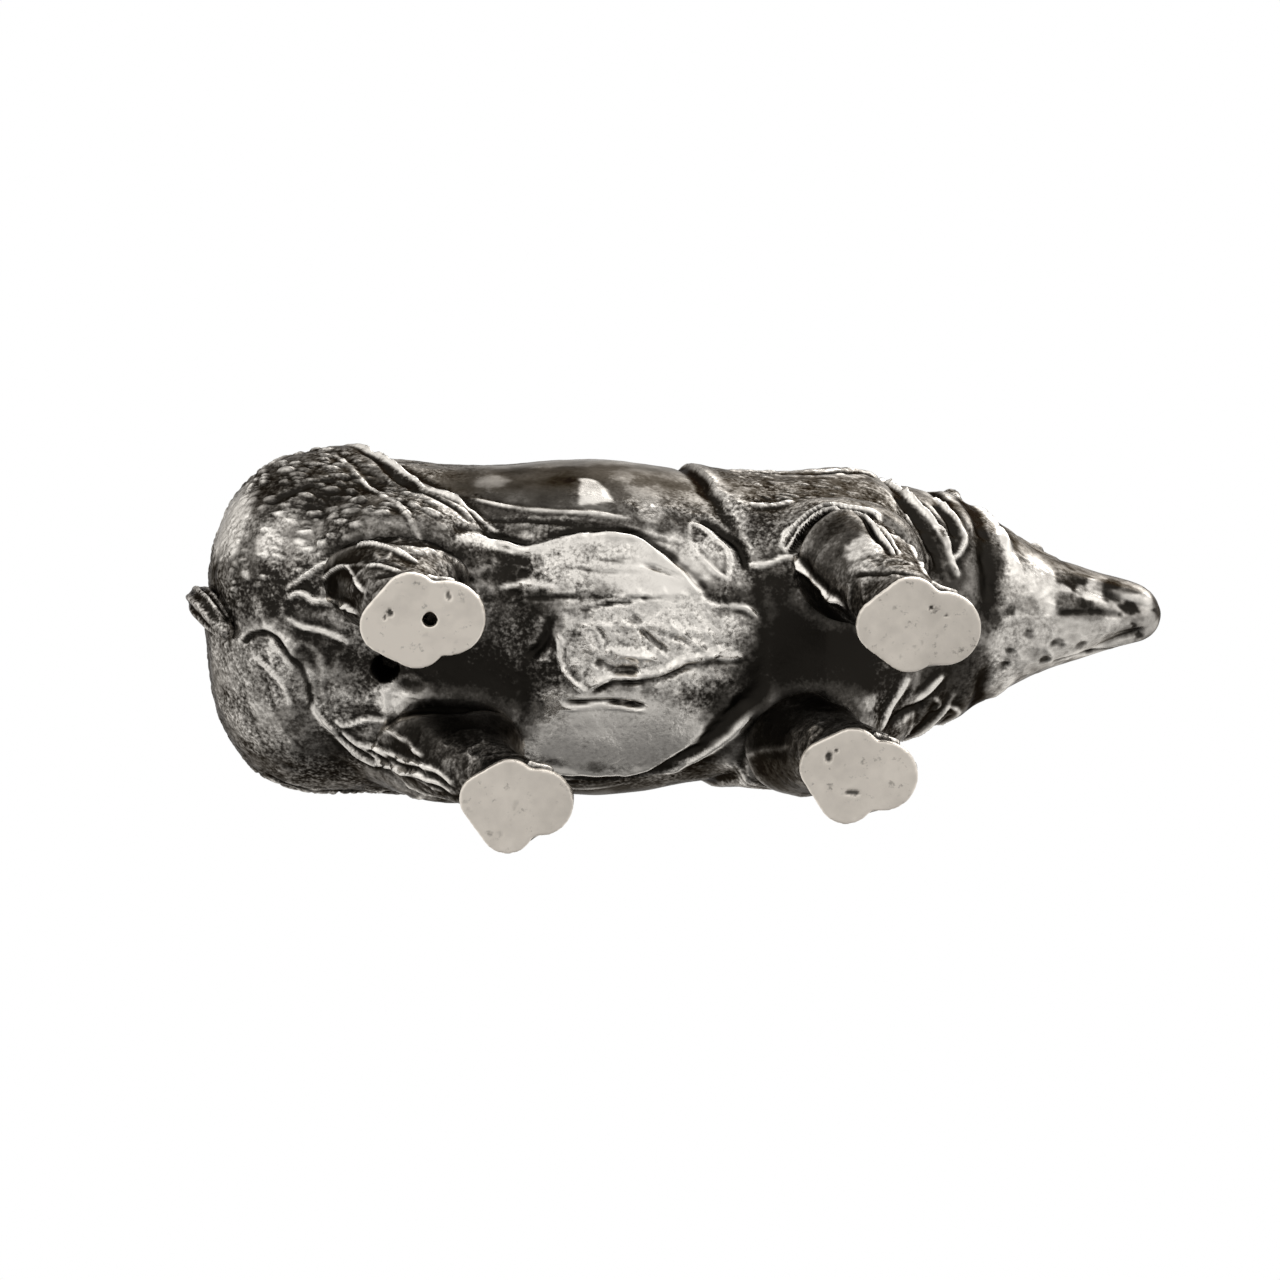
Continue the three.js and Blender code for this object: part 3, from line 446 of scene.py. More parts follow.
# Lip of a seam: its place in millimetres, and its reach in widths on the thick and the steep side.
LIP_PLACE = 0.2
LIP_REACH = (1.9, 0.5)
# Undercut of a seam: share of the height, and place and reach in widths.
UNDERCUT = (0.75, 1.2, 0.8)

# Scattered scales: margin and scatter of their middles, edges of the gaps, and fall from middle to rim.
SCALE_MARGIN = 0.15
SCALE_SCATTER = 0.7
SCALE_GAP = (0.02, 0.42)
SCALE_FALL = 0.35
SCALE_SEED = 5
# Low and high scales: least height, how much some rise above it, for which of them, and how deep all lie.
SCALE_LEAST = 0.15
SCALE_RISE = 1.2
SCALE_KINDS = (0.2, 0.8)
SCALE_SETTLE = 0.4
# Rows of scales: lean of the rows, how far they are drawn out along it, and how they wander.
ROW_LEAN = (0.92, 0.4)
ROW_DRAW = 0.42
ROW_WANDER = (0.5, 4.0, 3)
# Scaled part of the rump: distance behind its seam, height of its lower edge on the left and the right, how
# softly that edge starts and leans, and where and to what share the scales thin out at the rear.
RUMP_BEHIND = (4.0, 8.0)
RUMP_LOW = (42.0, 28.0)
RUMP_SOFT = 6.0
RUMP_LEAN = (0.3, 5.0)
RUMP_REAR = (-74.0, -66.0)
RUMP_THIN = 0.35
# Scaled part of the shoulder: distance from the seams behind and ahead of it, height, and share.
SHOULDER_BEHIND = (2.0, 7.0)
SHOULDER_AHEAD = (1.0, 4.0)
SHOULDER_LOW = (37.0, 43.0)
SHOULDER_SHARE = 0.35
# Patchiness of the scales: usual share, clouds and limits.
SCALED_SHARE = 0.85
SCALED_CLOUDS = (0.6, 9.0, 7)
SCALED_LIMITS = (0.3, 1.0)

# Wrinkles, creases and lumps, each by strength, size, seed and, if not three, layers.
HIDE_STRETCH = (0.75, 1.0, 1.15)
HIDE_LONG_WRINKLES = (0.7, 2.8, 21)
HIDE_FINE_WRINKLES = (0.5, 1.2, 31, 2)
HIDE_CREASES = ((1.0, 4.0, 45), (0.5, 1.8, 47))
HIDE_CREASE_SETTLE = 0.4
HIDE_LUMPS = (0.4, 9.0, 41, 2)
LEG_WRINKLES = ((0.4, 3.0, 23), (0.4, 1.3, 33, 2))
LEG_CREASE_STRETCH = (1.0, 1.0, 1.4)
LEG_CREASES = (4.2, 49)
LEG_CREASE_SHARE = 0.6
LEG_CREASE_SETTLE = 0.3
LEG_LUMPS = (0.3, 7.0, 43, 2)
CREASE_SLOPE = 3.2
CREASE_POWER = 1.5
# How much calmer scaled and smooth places are.
SCALED_CALM = 0.8
HIDE_CALM, LEG_CALM = 0.95, 0.9
# Grain of the hide: least share where it is smooth, least share in its clouds, the clouds, and what the
# legs have of it.
GRAIN_LEAST = 0.1
GRAIN_CLOUD_LEAST = 0.4
GRAIN_CLOUD_EDGE = (-0.4, 0.4)
GRAIN_CLOUDS = (1.0, 5.0, 77)
LEG_GRAIN = 0.5

# Pits, in shares of their radius: how ragged they are, and the edges of their wall and of their darkening.
PIT_RAGGED = (0.65, 0.9)
PIT_RAGGED_SEED = 13
PIT_WALL = (0.5, 1.25)
PIT_DARKENING = (0.4, 1.5)
# How dark a pit is at least, and how much darker at a depth of a millimetre.
PIT_DARK = (0.45, 0.35)
PORE_DEPTH = 0.2
NOSTRIL_RADIUS = 1.6
NOSTRIL_DEPTH = 1.1
# Vent: depth in millimetres, and edges of its wall and of the painted shade on its floor, in shares of its
# radius.
VENT_DEPTH = 5.5
VENT_WALL = (0.9, 1.08)
VENT_SHADE = (1.0, 1.12)
# Rings of an eye, by distance from its middle: ball, lids by height, place and width, gleam and shade.
EYE_BALL = (0.4, 1.6)
EYE_BALL_HEIGHT = 0.9
EYE_LIDS = ((-0.55, 2.0, 0.45), (0.25, 2.9, 0.5))
EYE_GLEAM = (0.8, 1.5)
EYE_GLEAM_SHINE = 0.3
EYE_SHADE = (-0.35, 1.9, 0.5)
# Edges of the soft spots, how ragged they are by share, size and step of the seed, and size of the calm core.
PATCH_EDGE = (0.35, 1.75)
PATCH_RAGGED = ((0.4, 6.0, 0), (0.35, 2.2, 3), (0.35, 0.9, 5))
PATCH_CORE = 0.5
# Muzzle: how far a side has to face outwards, where the drawing in begins and eases, and by what share.
MUZZLE_SIDE = 0.7
MUZZLE_START = (65.0, 75.0)
MUZZLE_TIP = (76.0, 80.5)
MUZZLE_BLUNT = 0.8

# Clouds of the tarnish, and the spots of the mottled places.
TARNISH_CLOUDS = ((0.1, 6.0, 51), (0.1, 1.6, 61))
MOTTLE_SPOTS = (1.0, 2.8, 59)
MOTTLE_EDGE = (-0.12, 0.25)
# How the shine follows the relief: reach in millimetres, weight and limits.
RELIEF_SHINE = ((1.0, 1.1, (-0.3, 0.24)), (3.0, 0.4, (-0.5, 0.4)))
# How the shine follows grooves and crests, by weight and limits, and how far these lose their grain. Crests are
# brightened as rubbed silver with a painted highlight along them.
LINE_SHINE = ((0.34, (-0.8, 0.0)), (0.8, (0.0, 1.0)))
LINE_GRAIN_LOSS = 0.8
# Shine of each casting before rubbing. The hide's rises towards the back, and the legs' on their nails.
HIDE_SHINE, LEG_SHINE, HORN_SHINE, TAIL_SHINE = 0.33, 0.33, 0.45, 0.4
BACK_SHINE = 0.11
BACK_HEIGHT = (45.0, 75.0)
NAIL_SHINE = 0.16
GLINT_SHINE = 0.6
GLINT_EDGE = (-0.3, 0.3)
GLINT_RAGGED = (0.4, 1.2, 71)

# How the hide swells beside the legs, and the legs beside the hide: height, width and reach in millimetres.
HIDE_SWELL = (1.1, 3.5, 9.0)
LEG_SWELL = (0.5, 3.0, 8.0)
# Leg skins: distance kept from the hide, softening, start of the relief, and how they duck under the hem.
LEG_KEEP_OFF = 0.8
LEG_SOFTEN = (1.3, 1.0)
LEG_START = (1.4, 4.0)
HEM_DUCK = 1.4
HEM_EDGE = (-1.0, 1.5)
# Toenails: angles in degrees, radius of a foot, half width, top, arch and bottom in millimetres.
TOE_ANGLES = (-58.0, 0.0, 58.0)
FOOT_RADIUS = 7.0
NAIL_HALF = (1.9, 2.5)
NAIL_TOP = (4.2, 5.2)
NAIL_ARCH = 0.25
NAIL_BOTTOM = (1.4, 2.2)
NAIL_HEIGHT = 0.5
# Groove round a nail: depth, width, place at the sides and on top, and how far each of these runs.
NAIL_GROOVE = 0.35
NAIL_GROOVE_WIDTH = 0.45
NAIL_GROOVE_SIDE = 2.5
NAIL_GROOVE_SIDE_RUN = (4.4, 5.6)
NAIL_GROOVE_TOP = 5.2
NAIL_GROOVE_TOP_RUN = (2.2, 2.8)

# Remeshed pieces, in metres: welding distance, and cell size and smoothing passes of soles and ears.
WELD = 0.00002
SOLE_CELL, SOLE_PASSES = 0.00028, 6
EAR_CELL, EAR_PASSES = 0.00026, 5
SMOOTH_FACTOR = 0.5
# Soles: clouds of their shine, stains by depth and edges, and pits by raggedness, edge, depth and darkness.
SOLE_CLOUDS = ((0.1, 5.0, 81), (0.07, 1.3, 82))
SOLE_STAIN = 0.3
SOLE_STAIN_SPOTS = ((1.0, 1.1, 83, 2), (0.5, 0.8))
SOLE_STAIN_PLACES = ((1.0, 7.0, 84), (-0.1, 0.4))
SOLE_PIT_RAGGED = (0.3, 0.6, 85)
SOLE_PIT_EDGE = (0.6, 1.1)
SOLE_PIT_DEPTH = 0.3
SOLE_PIT_DARK = 0.8
# Pits stay on the underside, below this height in millimetres.
SOLE_UNDERSIDE = 0.6

# Distance between rows of the horn and of the tail, in millimetres.
SMALL_STEP = 0.3
# Horn: columns, softening, and strands drawn out along it, fading out at the tip, which is thinned.
HORN_COLUMNS = 96
HORN_SOFTEN = (0.6, 0.6)
HORN_STRAND_TURN = 4.0
HORN_STRAND_DRAW = 0.12
HORN_STRANDS = (0.3, 0.9, 91, 2)
HORN_FADE = (80.0, 86.0)
HORN_ROUGHNESS = (0.14, 1.4, 93)
HORN_TIP = (78.0, 84.0)
HORN_TIP_THIN = 0.4
# Ears: ribs drawn out upwards, lumps, and shine at the root, towards the rim and on raised places.
EAR_RIB_DRAW = (1.0, 1.0, 0.35)
EAR_RIBS = (0.16, 1.3, 95)
EAR_LUMPS = (0.1, 2.4, 97)
EAR_SHINE = (0.3, 0.3, 2.0)
# Tail: columns, softening, where the tuft ends, its strands, and the rings of the bare part.
TAIL_COLUMNS = 72
TAIL_SOFTEN = (0.7, 0.6)
TUFT_TOP = (50.0, 55.0)
TUFT_TIP = (34.5, 38.0)
TUFT_STRANDS = 7.0
TUFT_TWIST = 0.12
TUFT_HEIGHT = 0.28
RING_HEIGHT = 0.16
RING_PITCH = 2.6
RING_WAVE = (0.8, 2.0)
TAIL_ROUGHNESS = (0.12, 1.5, 99)

# Inputs of the tarnish group, and its noises by output, input, detail and roughness.
TARNISH_INPUTS = (
    ("Grain Scale", 900.0), ("Speck Scale", 420.0), ("Speck Reach", 0.5), ("Fleck Scale", 1600.0),
    ("Mottle Scale", 160.0),
)
TARNISH_NOISES = (
    ("Specks", "Speck Scale", 4.0, 0.7),
    ("Flecks", "Fleck Scale", 1.5, 0.55),
    ("Mottle", "Mottle Scale", 5.0, 0.5),
    ("Height", "Grain Scale", 6.0, 0.65),
)
SPECK_FULL = 0.72
# How far the mottle spreads the shine of both silvers.
MOTTLE_SPREAD = 0.3
# Where specks start, how far they change the shine, and strength and height of the grain, for each silver.
HIDE_SPECK_REACH, SOLE_SPECK_REACH = 0.47, 0.58
HIDE_SPECK_DARK, SOLE_SPECK_DARK = -0.35, 0.45
HIDE_BUMP, SOLE_BUMP = (0.6, 0.0002), (0.2, 0.0001)
SOLE_GRAIN_SCALE, SOLE_SPECK_SCALE = 1500.0, 500.0
SOLE_STAIN_ROUGHNESS = 0.6
# Shine at which each colour of the hide's silver is reached, from oxide to bright, and of the soles'.
HIDE_STOPS = (0.05, 0.28, 0.58, 1.0)
SOLE_STOPS = (0.0, 0.95)

# Studio: softbox, camera and sky, in metres and shares of the sky's levels.
SOFTBOX_SIZE = (0.9, 0.7)
SOFTBOX_PLACE = (0.35, -0.55, 0.85)
SOFTBOX_AIM = (0, 0, 0.04)
SENSOR_WIDTH = 36.0
CAMERA_AIM = (-0.0059, 0.0, 0.043)
SKY_RISE = (0.0, 0.5)
SKY_SOFT_LEVEL = 0.75
GROUND_BASE = 0.5
GROUND_LEFT = 0.3


def unit(vectors):
    """Vectors of length one."""
    return vectors / np.maximum(np.linalg.norm(vectors, axis=-1, keepdims=True), TINY)


def ease(low, high, value):
    """A soft step from 0 at low to 1 at high."""
    share = np.clip((value - low) / (high - low), 0.0, 1.0)
    return share * share * (3.0 - 2.0 * share)


def fall(low, high, value):
    """A soft step from 1 at low to 0 at high."""
    return 1.0 - ease(low, high, value)


def bell(value, width):
    """A soft bump that is 1 at zero and fades over width."""
    return np.exp(-(value / width) ** 2)


def lattice(places, seed):
    """Repeatable numbers from 0 to 1 for whole-number places."""
    x, y, z = (places[..., k] * HASH_STEPS[k] for k in range(3))
    mixed = (x ^ y ^ z ^ (seed * HASH_SEED)) & HASH_MASK
    for shift, factor in HASH_ROUNDS:
        mixed = ((mixed ^ (mixed >> shift)) * factor) & HASH_MASK
    mixed ^= mixed >> HASH_SHIFT
    return mixed / float(HASH_MASK)


def lumps(points, size, seed):
    """Smooth noise from -1 to 1 with swellings about size apart."""
    places = points / size
    corner = np.floor(places).astype(np.int64)
    share = ease(0.0, 1.0, places - corner)
    total = np.zeros(points.shape[:-1])
    for step in np.ndindex(2, 2, 2):
        step = np.array(step)
        weight = np.prod(np.where(step == 1, share, 1.0 - share), axis=-1)
        total += weight * lattice(corner + step, seed)
    return 2.0 * total - 1.0


def rough(points, size, seed, layers=3):
    """Noise in layers, each half as large and half as strong."""
    total = sum(lumps(points, size / 2 ** k, seed + LAYER_SEED * k) / 2 ** k for k in range(layers))
    return total / LAYER_TOTAL


def noise(points, *kinds):
    """Sum of layered noises, each given by its strength, size, seed and, if not three, layers."""
    return sum(strength * rough(points, *kind) for strength, *kind in kinds)


def pebbles(points, size, seed):
    """Domes of scattered scales: 1 on their tops and 0 in the gaps between them, and a number per scale."""
    places = points / size
    corner = np.floor(places).astype(np.int64)
    nearest = np.full(points.shape[:-1], np.inf)
    second = np.full(points.shape[:-1], np.inf)
    own = np.zeros(points.shape[:-1])
    for step in np.ndindex(3, 3, 3):
        cell = corner + np.array(step) - 1
        jitter = np.stack([lattice(cell, seed + k) for k in range(3)], axis=-1)
        reach = np.linalg.norm(cell + SCALE_MARGIN + SCALE_SCATTER * jitter - places, axis=-1)
        closer = reach < nearest
        second = np.where(closer, nearest, np.minimum(second, reach))
        own = np.where(closer, jitter[..., 0], own)
        nearest = np.where(closer, reach, nearest)
    return ease(*SCALE_GAP, second - nearest) * (1.0 - SCALE_FALL * nearest), own


def creases(points, size, seed):
    """Thin crooked ridges like those of crumpled foil, from 0 to 1."""
    return np.clip(1.0 - CREASE_SLOPE * np.abs(rough(points, size, seed, 2)), 0.0, 1.0) ** CREASE_POWER


def hem_height(points):
    """Height of the hem of the hide over the leg at each point."""
    x, y = points[..., 0], points[..., 1]
    hind, fore = np.array(HIND_HEM, float), np.array(FORE_HEM, float)
    behind = np.interp(x - np.where(y > 0, HIND_STEP, 0.0), hind[:, 0], hind[:, 1])
    ahead = np.interp(x - np.where(y > 0, FORE_STEP, 0.0), fore[:, 0], fore[:, 1])
    return np.where(x < HEM_SPLIT, behind, ahead)


def casting(*nodes):
    """A search tree over CAD nodes in millimetres, and the place in the list of each face's node."""
    points, faces, owner = [], [], []
    for place, name in enumerate(nodes):
        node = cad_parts[name]
        start = len(points)
        points.extend((node.matrix_world @ vertex.co) / MM for vertex in node.data.vertices)
        for polygon in node.data.polygons:
            faces.append([start + k for k in polygon.vertices])
            owner.append(place)
    return BVHTree.FromPolygons(points, faces), np.array(owner)


def reach_to(tree, points, limit):
    """Distance from each point to the nearest face of the tree, up to limit."""
    flat = points.reshape(-1, 3)
    found = np.full(len(flat), limit)
    for k, point in enumerate(flat.tolist()):
        gap = tree.find_nearest(point, limit)[3]
        if gap is not None:
            found[k] = gap
    return found.reshape(points.shape[:-1])


def past_ends(field, pad, closed):
    """The field with rows added before and after it: over the pole of a closed end, level at an open one."""
    half = field.shape[1] // 2
    if closed[0]:
        first = np.roll(field[:pad][::-1], half, axis=1)
    else:
        first = np.repeat(field[:1], pad, axis=0)
    if closed[1]:
        last = np.roll(field[-pad:][::-1], half, axis=1)
    else:
        last = np.repeat(field[-1:], pad, axis=0)
    return np.concatenate([first, field, last])


def softened(field, rows, columns, closed=(True, True)):
    """The field blurred by a bell of so many rows and columns. Columns run on round the skin."""
    turn = np.exp(-2.0 * (math.pi * columns * np.fft.rfftfreq(field.shape[1])) ** 2)
    field = np.fft.irfft(np.fft.rfft(field, axis=1) * turn, field.shape[1], axis=1)
    pad = min(int(3 * rows) + 2, field.shape[0])
    tall = past_ends(field, pad, closed)
    run = np.exp(-2.0 * (math.pi * rows * np.fft.rfftfreq(tall.shape[0])) ** 2)
    tall = np.fft.irfft(np.fft.rfft(tall, axis=0) * run[:, None], tall.shape[0], axis=0)
    return tall[pad:-pad]


def filled(field, good, closed):
    """The field with its bad places filled from the good ones round them."""
    known = np.where(good, field, 0.0)
    weight = good.astype(float)
    out = np.where(good, field, np.nan)
    for spread in FILL_SPREADS:
        near = softened(weight, spread, spread, closed)
        guess = softened(known, spread, spread, closed) / np.maximum(near, 1e-6)
        out = np.where(np.isnan(out) & (near > FILL_TRUST), guess, out)
    return np.where(np.isnan(out), np.mean(field[good]), out)


class Skin:
    """A fine closed skin: rows along a casting's axis, columns round it, in millimetres."""

    def __init__(self, at, ends, closed, step):
        self.closed = closed
        self.ends = ends
        self.step = step
        self.owner = None
        self.place(at)
        self.lift = np.zeros(at.shape[:2])
        self.shine = np.zeros(at.shape[:2])
        self.grain = np.ones(at.shape[:2])
        self.lines = np.zeros(at.shape[:2])

    def place(self, at):
        """Sets the points and finds which way each one faces."""
        self.at = at
        tall = past_ends(at, 1, self.closed)
        along = tall[2:] - tall[:-2]
        if not self.closed[0]:
            along[0] = at[1] - at[0]
        if not self.closed[1]:
            along[-1] = at[-1] - at[-2]
        across = np.roll(at, -1, axis=1) - np.roll(at, 1, axis=1)
        self.facing = unit(np.cross(across, along))

    def turn(self):
        """Mean distance between columns."""
        return np.linalg.norm(self.at - np.roll(self.at, 1, axis=1), axis=-1).mean()

    def blurred(self, field, reach):
        """A field of the skin blurred over a reach in millimetres."""
        return softened(field, reach / self.step, reach / self.turn(), self.closed)

    def raised(self):
        """The points moved out by the relief, along evened directions so that steep walls don't fold over."""
        ways = np.stack([self.blurred(self.facing[..., k], EVEN_REACH) for k in range(3)], axis=-1)
        return self.at + unit(ways) * self.lift[..., None]

    def finished(self):
        """The skin with its relief in its points."""
        return Skin(self.raised(), self.ends, self.closed, self.step)


def wrap(cast, axis, along, start, step, columns, far, closed=(True, True), keep_off=None, skirt=None,
         soften=(2.0, 2.0)):
    """A skin round a casting, from rays shot inwards at its axis.

    Rows cross the axis square to along, and closed ends are capped like a dome. Column 0 lies towards start.
    Hits within keep_off's distance of its tree aren't used. Hits on the skirt's tree above the hem are."""
    tree, owner = cast
    axis = np.array(axis, float)
    along = unit(np.array(along, float))
    first = np.array(start, float)
    first = unit(first - along * (first @ along))
    second = np.cross(along, first)

    def shoot(origin, way):
        """Distance from the axis to the casting that way, and the face that is met."""
        _, _, face, gap = tree.ray_cast(Vector(origin + way * far), Vector(-way), far - RAY_STOP)
        return (far - gap, face) if face is not None else (None, None)

    def cap_leans(origin, way):
        """Leans of the rows over a closed end, from the way its axis points."""
        reach = shoot(origin, way)[0] or 0.0
        count = max(CAP_ROWS, int(CAP_ARC * reach / step))
        return [math.pi / 2 * (k + 0.5) / count for k in range(count)]

    origins, leans = [], []
    if closed[0]:
        leans += cap_leans(axis[0], -along)
        origins += [axis[0]] * len(leans)
    spans = np.concatenate([[0.0], np.cumsum(np.linalg.norm(np.diff(axis, axis=0), axis=1))])
    for length in np.linspace(0.0, spans[-1], int(spans[-1] / step) + 1):
        origins.append(np.array([np.interp(length, spans, axis[:, k]) for k in range(3)]))
        leans.append(math.pi / 2)
    if closed[1]:
        leans += [math.pi / 2 + lean for lean in cap_leans(axis[-1], along)]
        origins += [axis[-1]] * (len(leans) - len(origins))
    origins = np.array(origins)
    leans = np.array(leans)[:, None, None]
    angles = 2.0 * math.pi * np.arange(columns) / columns
    round_axis = np.cos(angles)[:, None] * first + np.sin(angles)[:, None] * second
    ways = -np.cos(leans) * along + np.sin(leans) * round_axis[None]
    size = (len(origins), columns)
    radius, good, labels = np.zeros(size), np.zeros(size, bool), np.zeros(size, int)
    for row, column in np.ndindex(*size):
        gap, face = shoot(origins[row], ways[row, column])
        if gap is not None:
            radius[row, column] = gap
            good[row, column] = True
            labels[row, column] = owner[face]
        if skirt:
            way = Vector(ways[row, column])
            outside = Vector(origins[row]) + way * far
            point, _, face, gap = skirt.ray_cast(outside, -way, far - radius[row, column])
            if face is not None and point.z > hem_height(np.array(point)):
                radius[row, column] = far - gap
    if keep_off:
        spots = origins[:, None] + ways * radius[..., None]
        good &= reach_to(keep_off[0], spots, keep_off[1] * 2) > keep_off[1]
    radius = filled(radius, good, closed)
    mean_turn = 2.0 * math.pi * np.mean(radius) / columns
    radius = softened(radius, soften[0] / step, soften[1] / mean_turn, closed)
    ends = [axis[0], axis[-1]]
    if closed[0]:
        ends[0] = axis[0] - along * np.mean(radius[0])
    if closed[1]:
        ends[1] = axis[-1] + along * np.mean(radius[-1])
    skin = Skin(origins[:, None] + ways * radius[..., None], ends, closed, step)
    skin.owner = labels
    return skin


def curve_through(points, spacing=0.9):
    """Evenly spaced points on a smooth line through the given ones."""
    points = np.array(points, float)
    ends = np.concatenate([[2 * points[0] - points[1]], points, [2 * points[-1] - points[-2]]])
    line = []
    for before, here, there, after in zip(ends, ends[1:], ends[2:], ends[3:]):
        count = max(2, int(np.linalg.norm(there - here) / spacing))
        bend = 2 * before - 5 * here + 4 * there - after
        twist = 3 * here - before - 3 * there + after
        for t in np.linspace(0.0, 1.0, count, endpoint=False):
            line.append(0.5 * (2 * here + (there - before) * t + bend * t ** 2 + twist * t ** 3))
    line.append(points[-1])
    return np.array(line)


def evened(line, passes=6):
    """The line with its small kinks taken out."""
    for _ in range(passes):
        line[1:-1] = 0.25 * line[:-2] + 0.5 * line[1:-1] + 0.25 * line[2:]
    return line


def mirrored(lines, shift, share):
    """The same lines on the animal's other side, moved along it by shift and with a share of their height."""
    return tuple((kind, share * height, width, tuple((x + shift, -y, z) for x, y, z in reversed(points)))
                 for kind, height, width, points in lines)


def on_both_sides(paired):
    """Lines of the right side, and the same mirrored to the left."""
    both = ()
    for lines, shift, share in paired:
        both += lines + mirrored(lines, shift, share)
    return both


def beside(line, spots, facing):
    """For each spot, its distance from the line, how far it lies to the right, and its share of the run."""
    best = np.full(len(spots), np.inf)
    side, share = np.zeros(len(spots)), np.zeros(len(spots))
    segments = len(line) - 1
    for k in range(segments):
        run = line[k + 1] - line[k]
        length = max(float(run @ run), TINY)
        t = np.clip(((spots - line[k]) @ run) / length, 0.0, 1.0)
        away = spots - line[k] - t[:, None] * run
        gap = np.einsum("ij,ij->i", away, away)
        closer = gap < best
        best = np.where(closer, gap, best)
        right = -np.einsum("ij,ij->i", np.cross(facing, run / math.sqrt(length)), away)
        side = np.where(closer, right, side)
        share = np.where(closer, (k + t) / segments, share)
    return np.sqrt(best), side, share


def line_shape(kind, gap, side, width):
    """Height across a line: gap is the distance from it, and side is below 0 on its left."""
    sides = {"both": np.full(gap.shape, True), "left": side < 0, "right": side >= 0}
    return sum(np.where(sides[where], share * bell(gap - place * width, reach * width), 0.0)
               for where, share, place, reach in PROFILES[kind])


def carve(skin, lines, strength):
    """Raises or cuts the lines that pass near the skin."""
    far, wave = LINE_WANDER
    wander = far * np.stack([lumps(skin.at, wave, LINE_SEED + k) for k in range(3)], axis=-1)
    swell = sum(share * lumps(skin.at, size, seed) for share, size, seed in LINE_SWELL_WAVES)
    swell = np.clip(LINE_SWELL + swell, *LINE_SWELL_LIMITS)
    flat = (skin.at + wander).reshape(-1, 3)
    facing = skin.facing.reshape(-1, 3)
    lift, marks = np.zeros(len(flat)), np.zeros(len(flat))
    finder = KDTree(len(flat))
    for k, point in enumerate(skin.at.reshape(-1, 3).tolist()):
        finder.insert(point, k)
    finder.balance()
    for kind, height, width, points in lines:
        line = curve_through(points)
        for k, point in enumerate(line.tolist()):
            spot, _, gap = finder.find(point)
            if gap < LINE_SNAP:
                line[k] = spot
        line = evened(line)
        span = LINE_SPAN * width
        near = np.all((flat > line.min(axis=0) - span) & (flat < line.max(axis=0) + span), axis=1)
        picked = np.nonzero(near)[0]
        if not len(picked):
            continue
        gap, side, share = beside(line, flat[picked], facing[picked])
        taper = np.sqrt(np.clip(np.minimum(share, 1.0 - share) * LINE_TAPER, 0.0, 1.0))
        fade = (taper * (1.0 - LINE_TIP) + LINE_TIP) * fall(LINE_LET_GO * span, span, gap)
        shape = fade * line_shape(kind, gap, side, width)
        lift[picked] += height * shape
        marks[picked] += np.clip(LINE_MARK * shape, -1.0, 1.0) * min(1.0, LINE_MARK_HEIGHT * height)
    skin.lift += strength * swell * lift.reshape(skin.lift.shape)
    skin.lines += np.clip(swell, *LINE_MARK_SWELL) * marks.reshape(skin.lift.shape)


def sink(skin, middle, radius, depth):
    """Sinks a round pit with a soft, ragged edge, and darkens it."""
    ragged, size = PIT_RAGGED
    gap = np.linalg.norm(skin.at - np.array(middle), axis=-1)
    gap = gap + ragged * radius * lumps(skin.at, size * radius, PIT_RAGGED_SEED)
    wall_low, wall_high, dark_low, dark_high = (edge * radius for edge in PIT_WALL + PIT_DARKENING)
    skin.lift -= depth * fall(wall_low, wall_high, gap)
    skin.shine -= (PIT_DARK[0] + PIT_DARK[1] * min(depth, 1.0)) * fall(dark_low, dark_high, gap)


def model_eye(skin, middle):
    """Raises an eyeball in a ring of lids."""
    gap = np.linalg.norm((skin.at - np.array(middle)) / np.array(EYE_SHAPE), axis=-1)
    skin.lift += EYE_BALL_HEIGHT * fall(*EYE_BALL, gap)
    for height, place, width in EYE_LIDS:
        skin.lift += height * bell(gap - place, width)
    shade, place, width = EYE_SHADE
    skin.shine += EYE_GLEAM_SHINE * fall(*EYE_GLEAM, gap) + shade * bell(gap - place, width)


def drill_vent(skin):
    """Drills the casting vent of the groin, with a crisp edge and its floor painted black as the shade inside
    the hole.
    """
    middle, radius = VENT
    gap = np.linalg.norm(skin.at - np.array(middle), axis=-1)
    skin.lift -= VENT_DEPTH * fall(VENT_WALL[0] * radius, VENT_WALL[1] * radius, gap)
    # Painted shade: the floor of the vent goes black.
    skin.shine -= fall(VENT_SHADE[0] * radius, VENT_SHADE[1] * radius, gap)


def patches(points, spots, seed):
    """How strongly the listed soft spots cover each point. Their edges are ragged."""
    total = np.zeros(points.shape[:-1])
    ragged = noise(points, *((share, size, seed + step) for share, size, step in PATCH_RAGGED))
    for middle, reach, amount in spots:
        away = np.sum(((points - np.array(middle)) / np.array(reach)) ** 2, axis=-1)
        away = away + ragged * np.minimum(away / PATCH_CORE, 1.0)
        total = np.maximum(total, amount * fall(*PATCH_EDGE, away))
    return total


def facet(points, corners):
    """How far inside the corners each point lies, seen from the animal's right, in millimetres."""
    inside = np.where(points[..., 1] < 0.0, np.inf, -np.inf)
    for (x, z), (next_x, next_z) in zip(corners, corners[1:] + corners[:1]):
        run = math.hypot(next_x - x, next_z - z)
        gap = ((points[..., 0] - x) * (next_z - z) - (points[..., 2] - z) * (next_x - x)) / run
        inside = np.minimum(inside, gap)
    return inside


def slim_muzzle(skin):
    """Draws the sides of the muzzle in, and leaves its tip blunt."""
    x, side = skin.at[..., 0], skin.facing[..., 1]
    left, right = MUZZLE_DRAW
    drawn = left * ease(0.0, MUZZLE_SIDE, side) + right * ease(0.0, MUZZLE_SIDE, -side)
    skin.lift -= drawn * ease(*MUZZLE_START, x) * (1.0 - MUZZLE_BLUNT * ease(*MUZZLE_TIP, x))


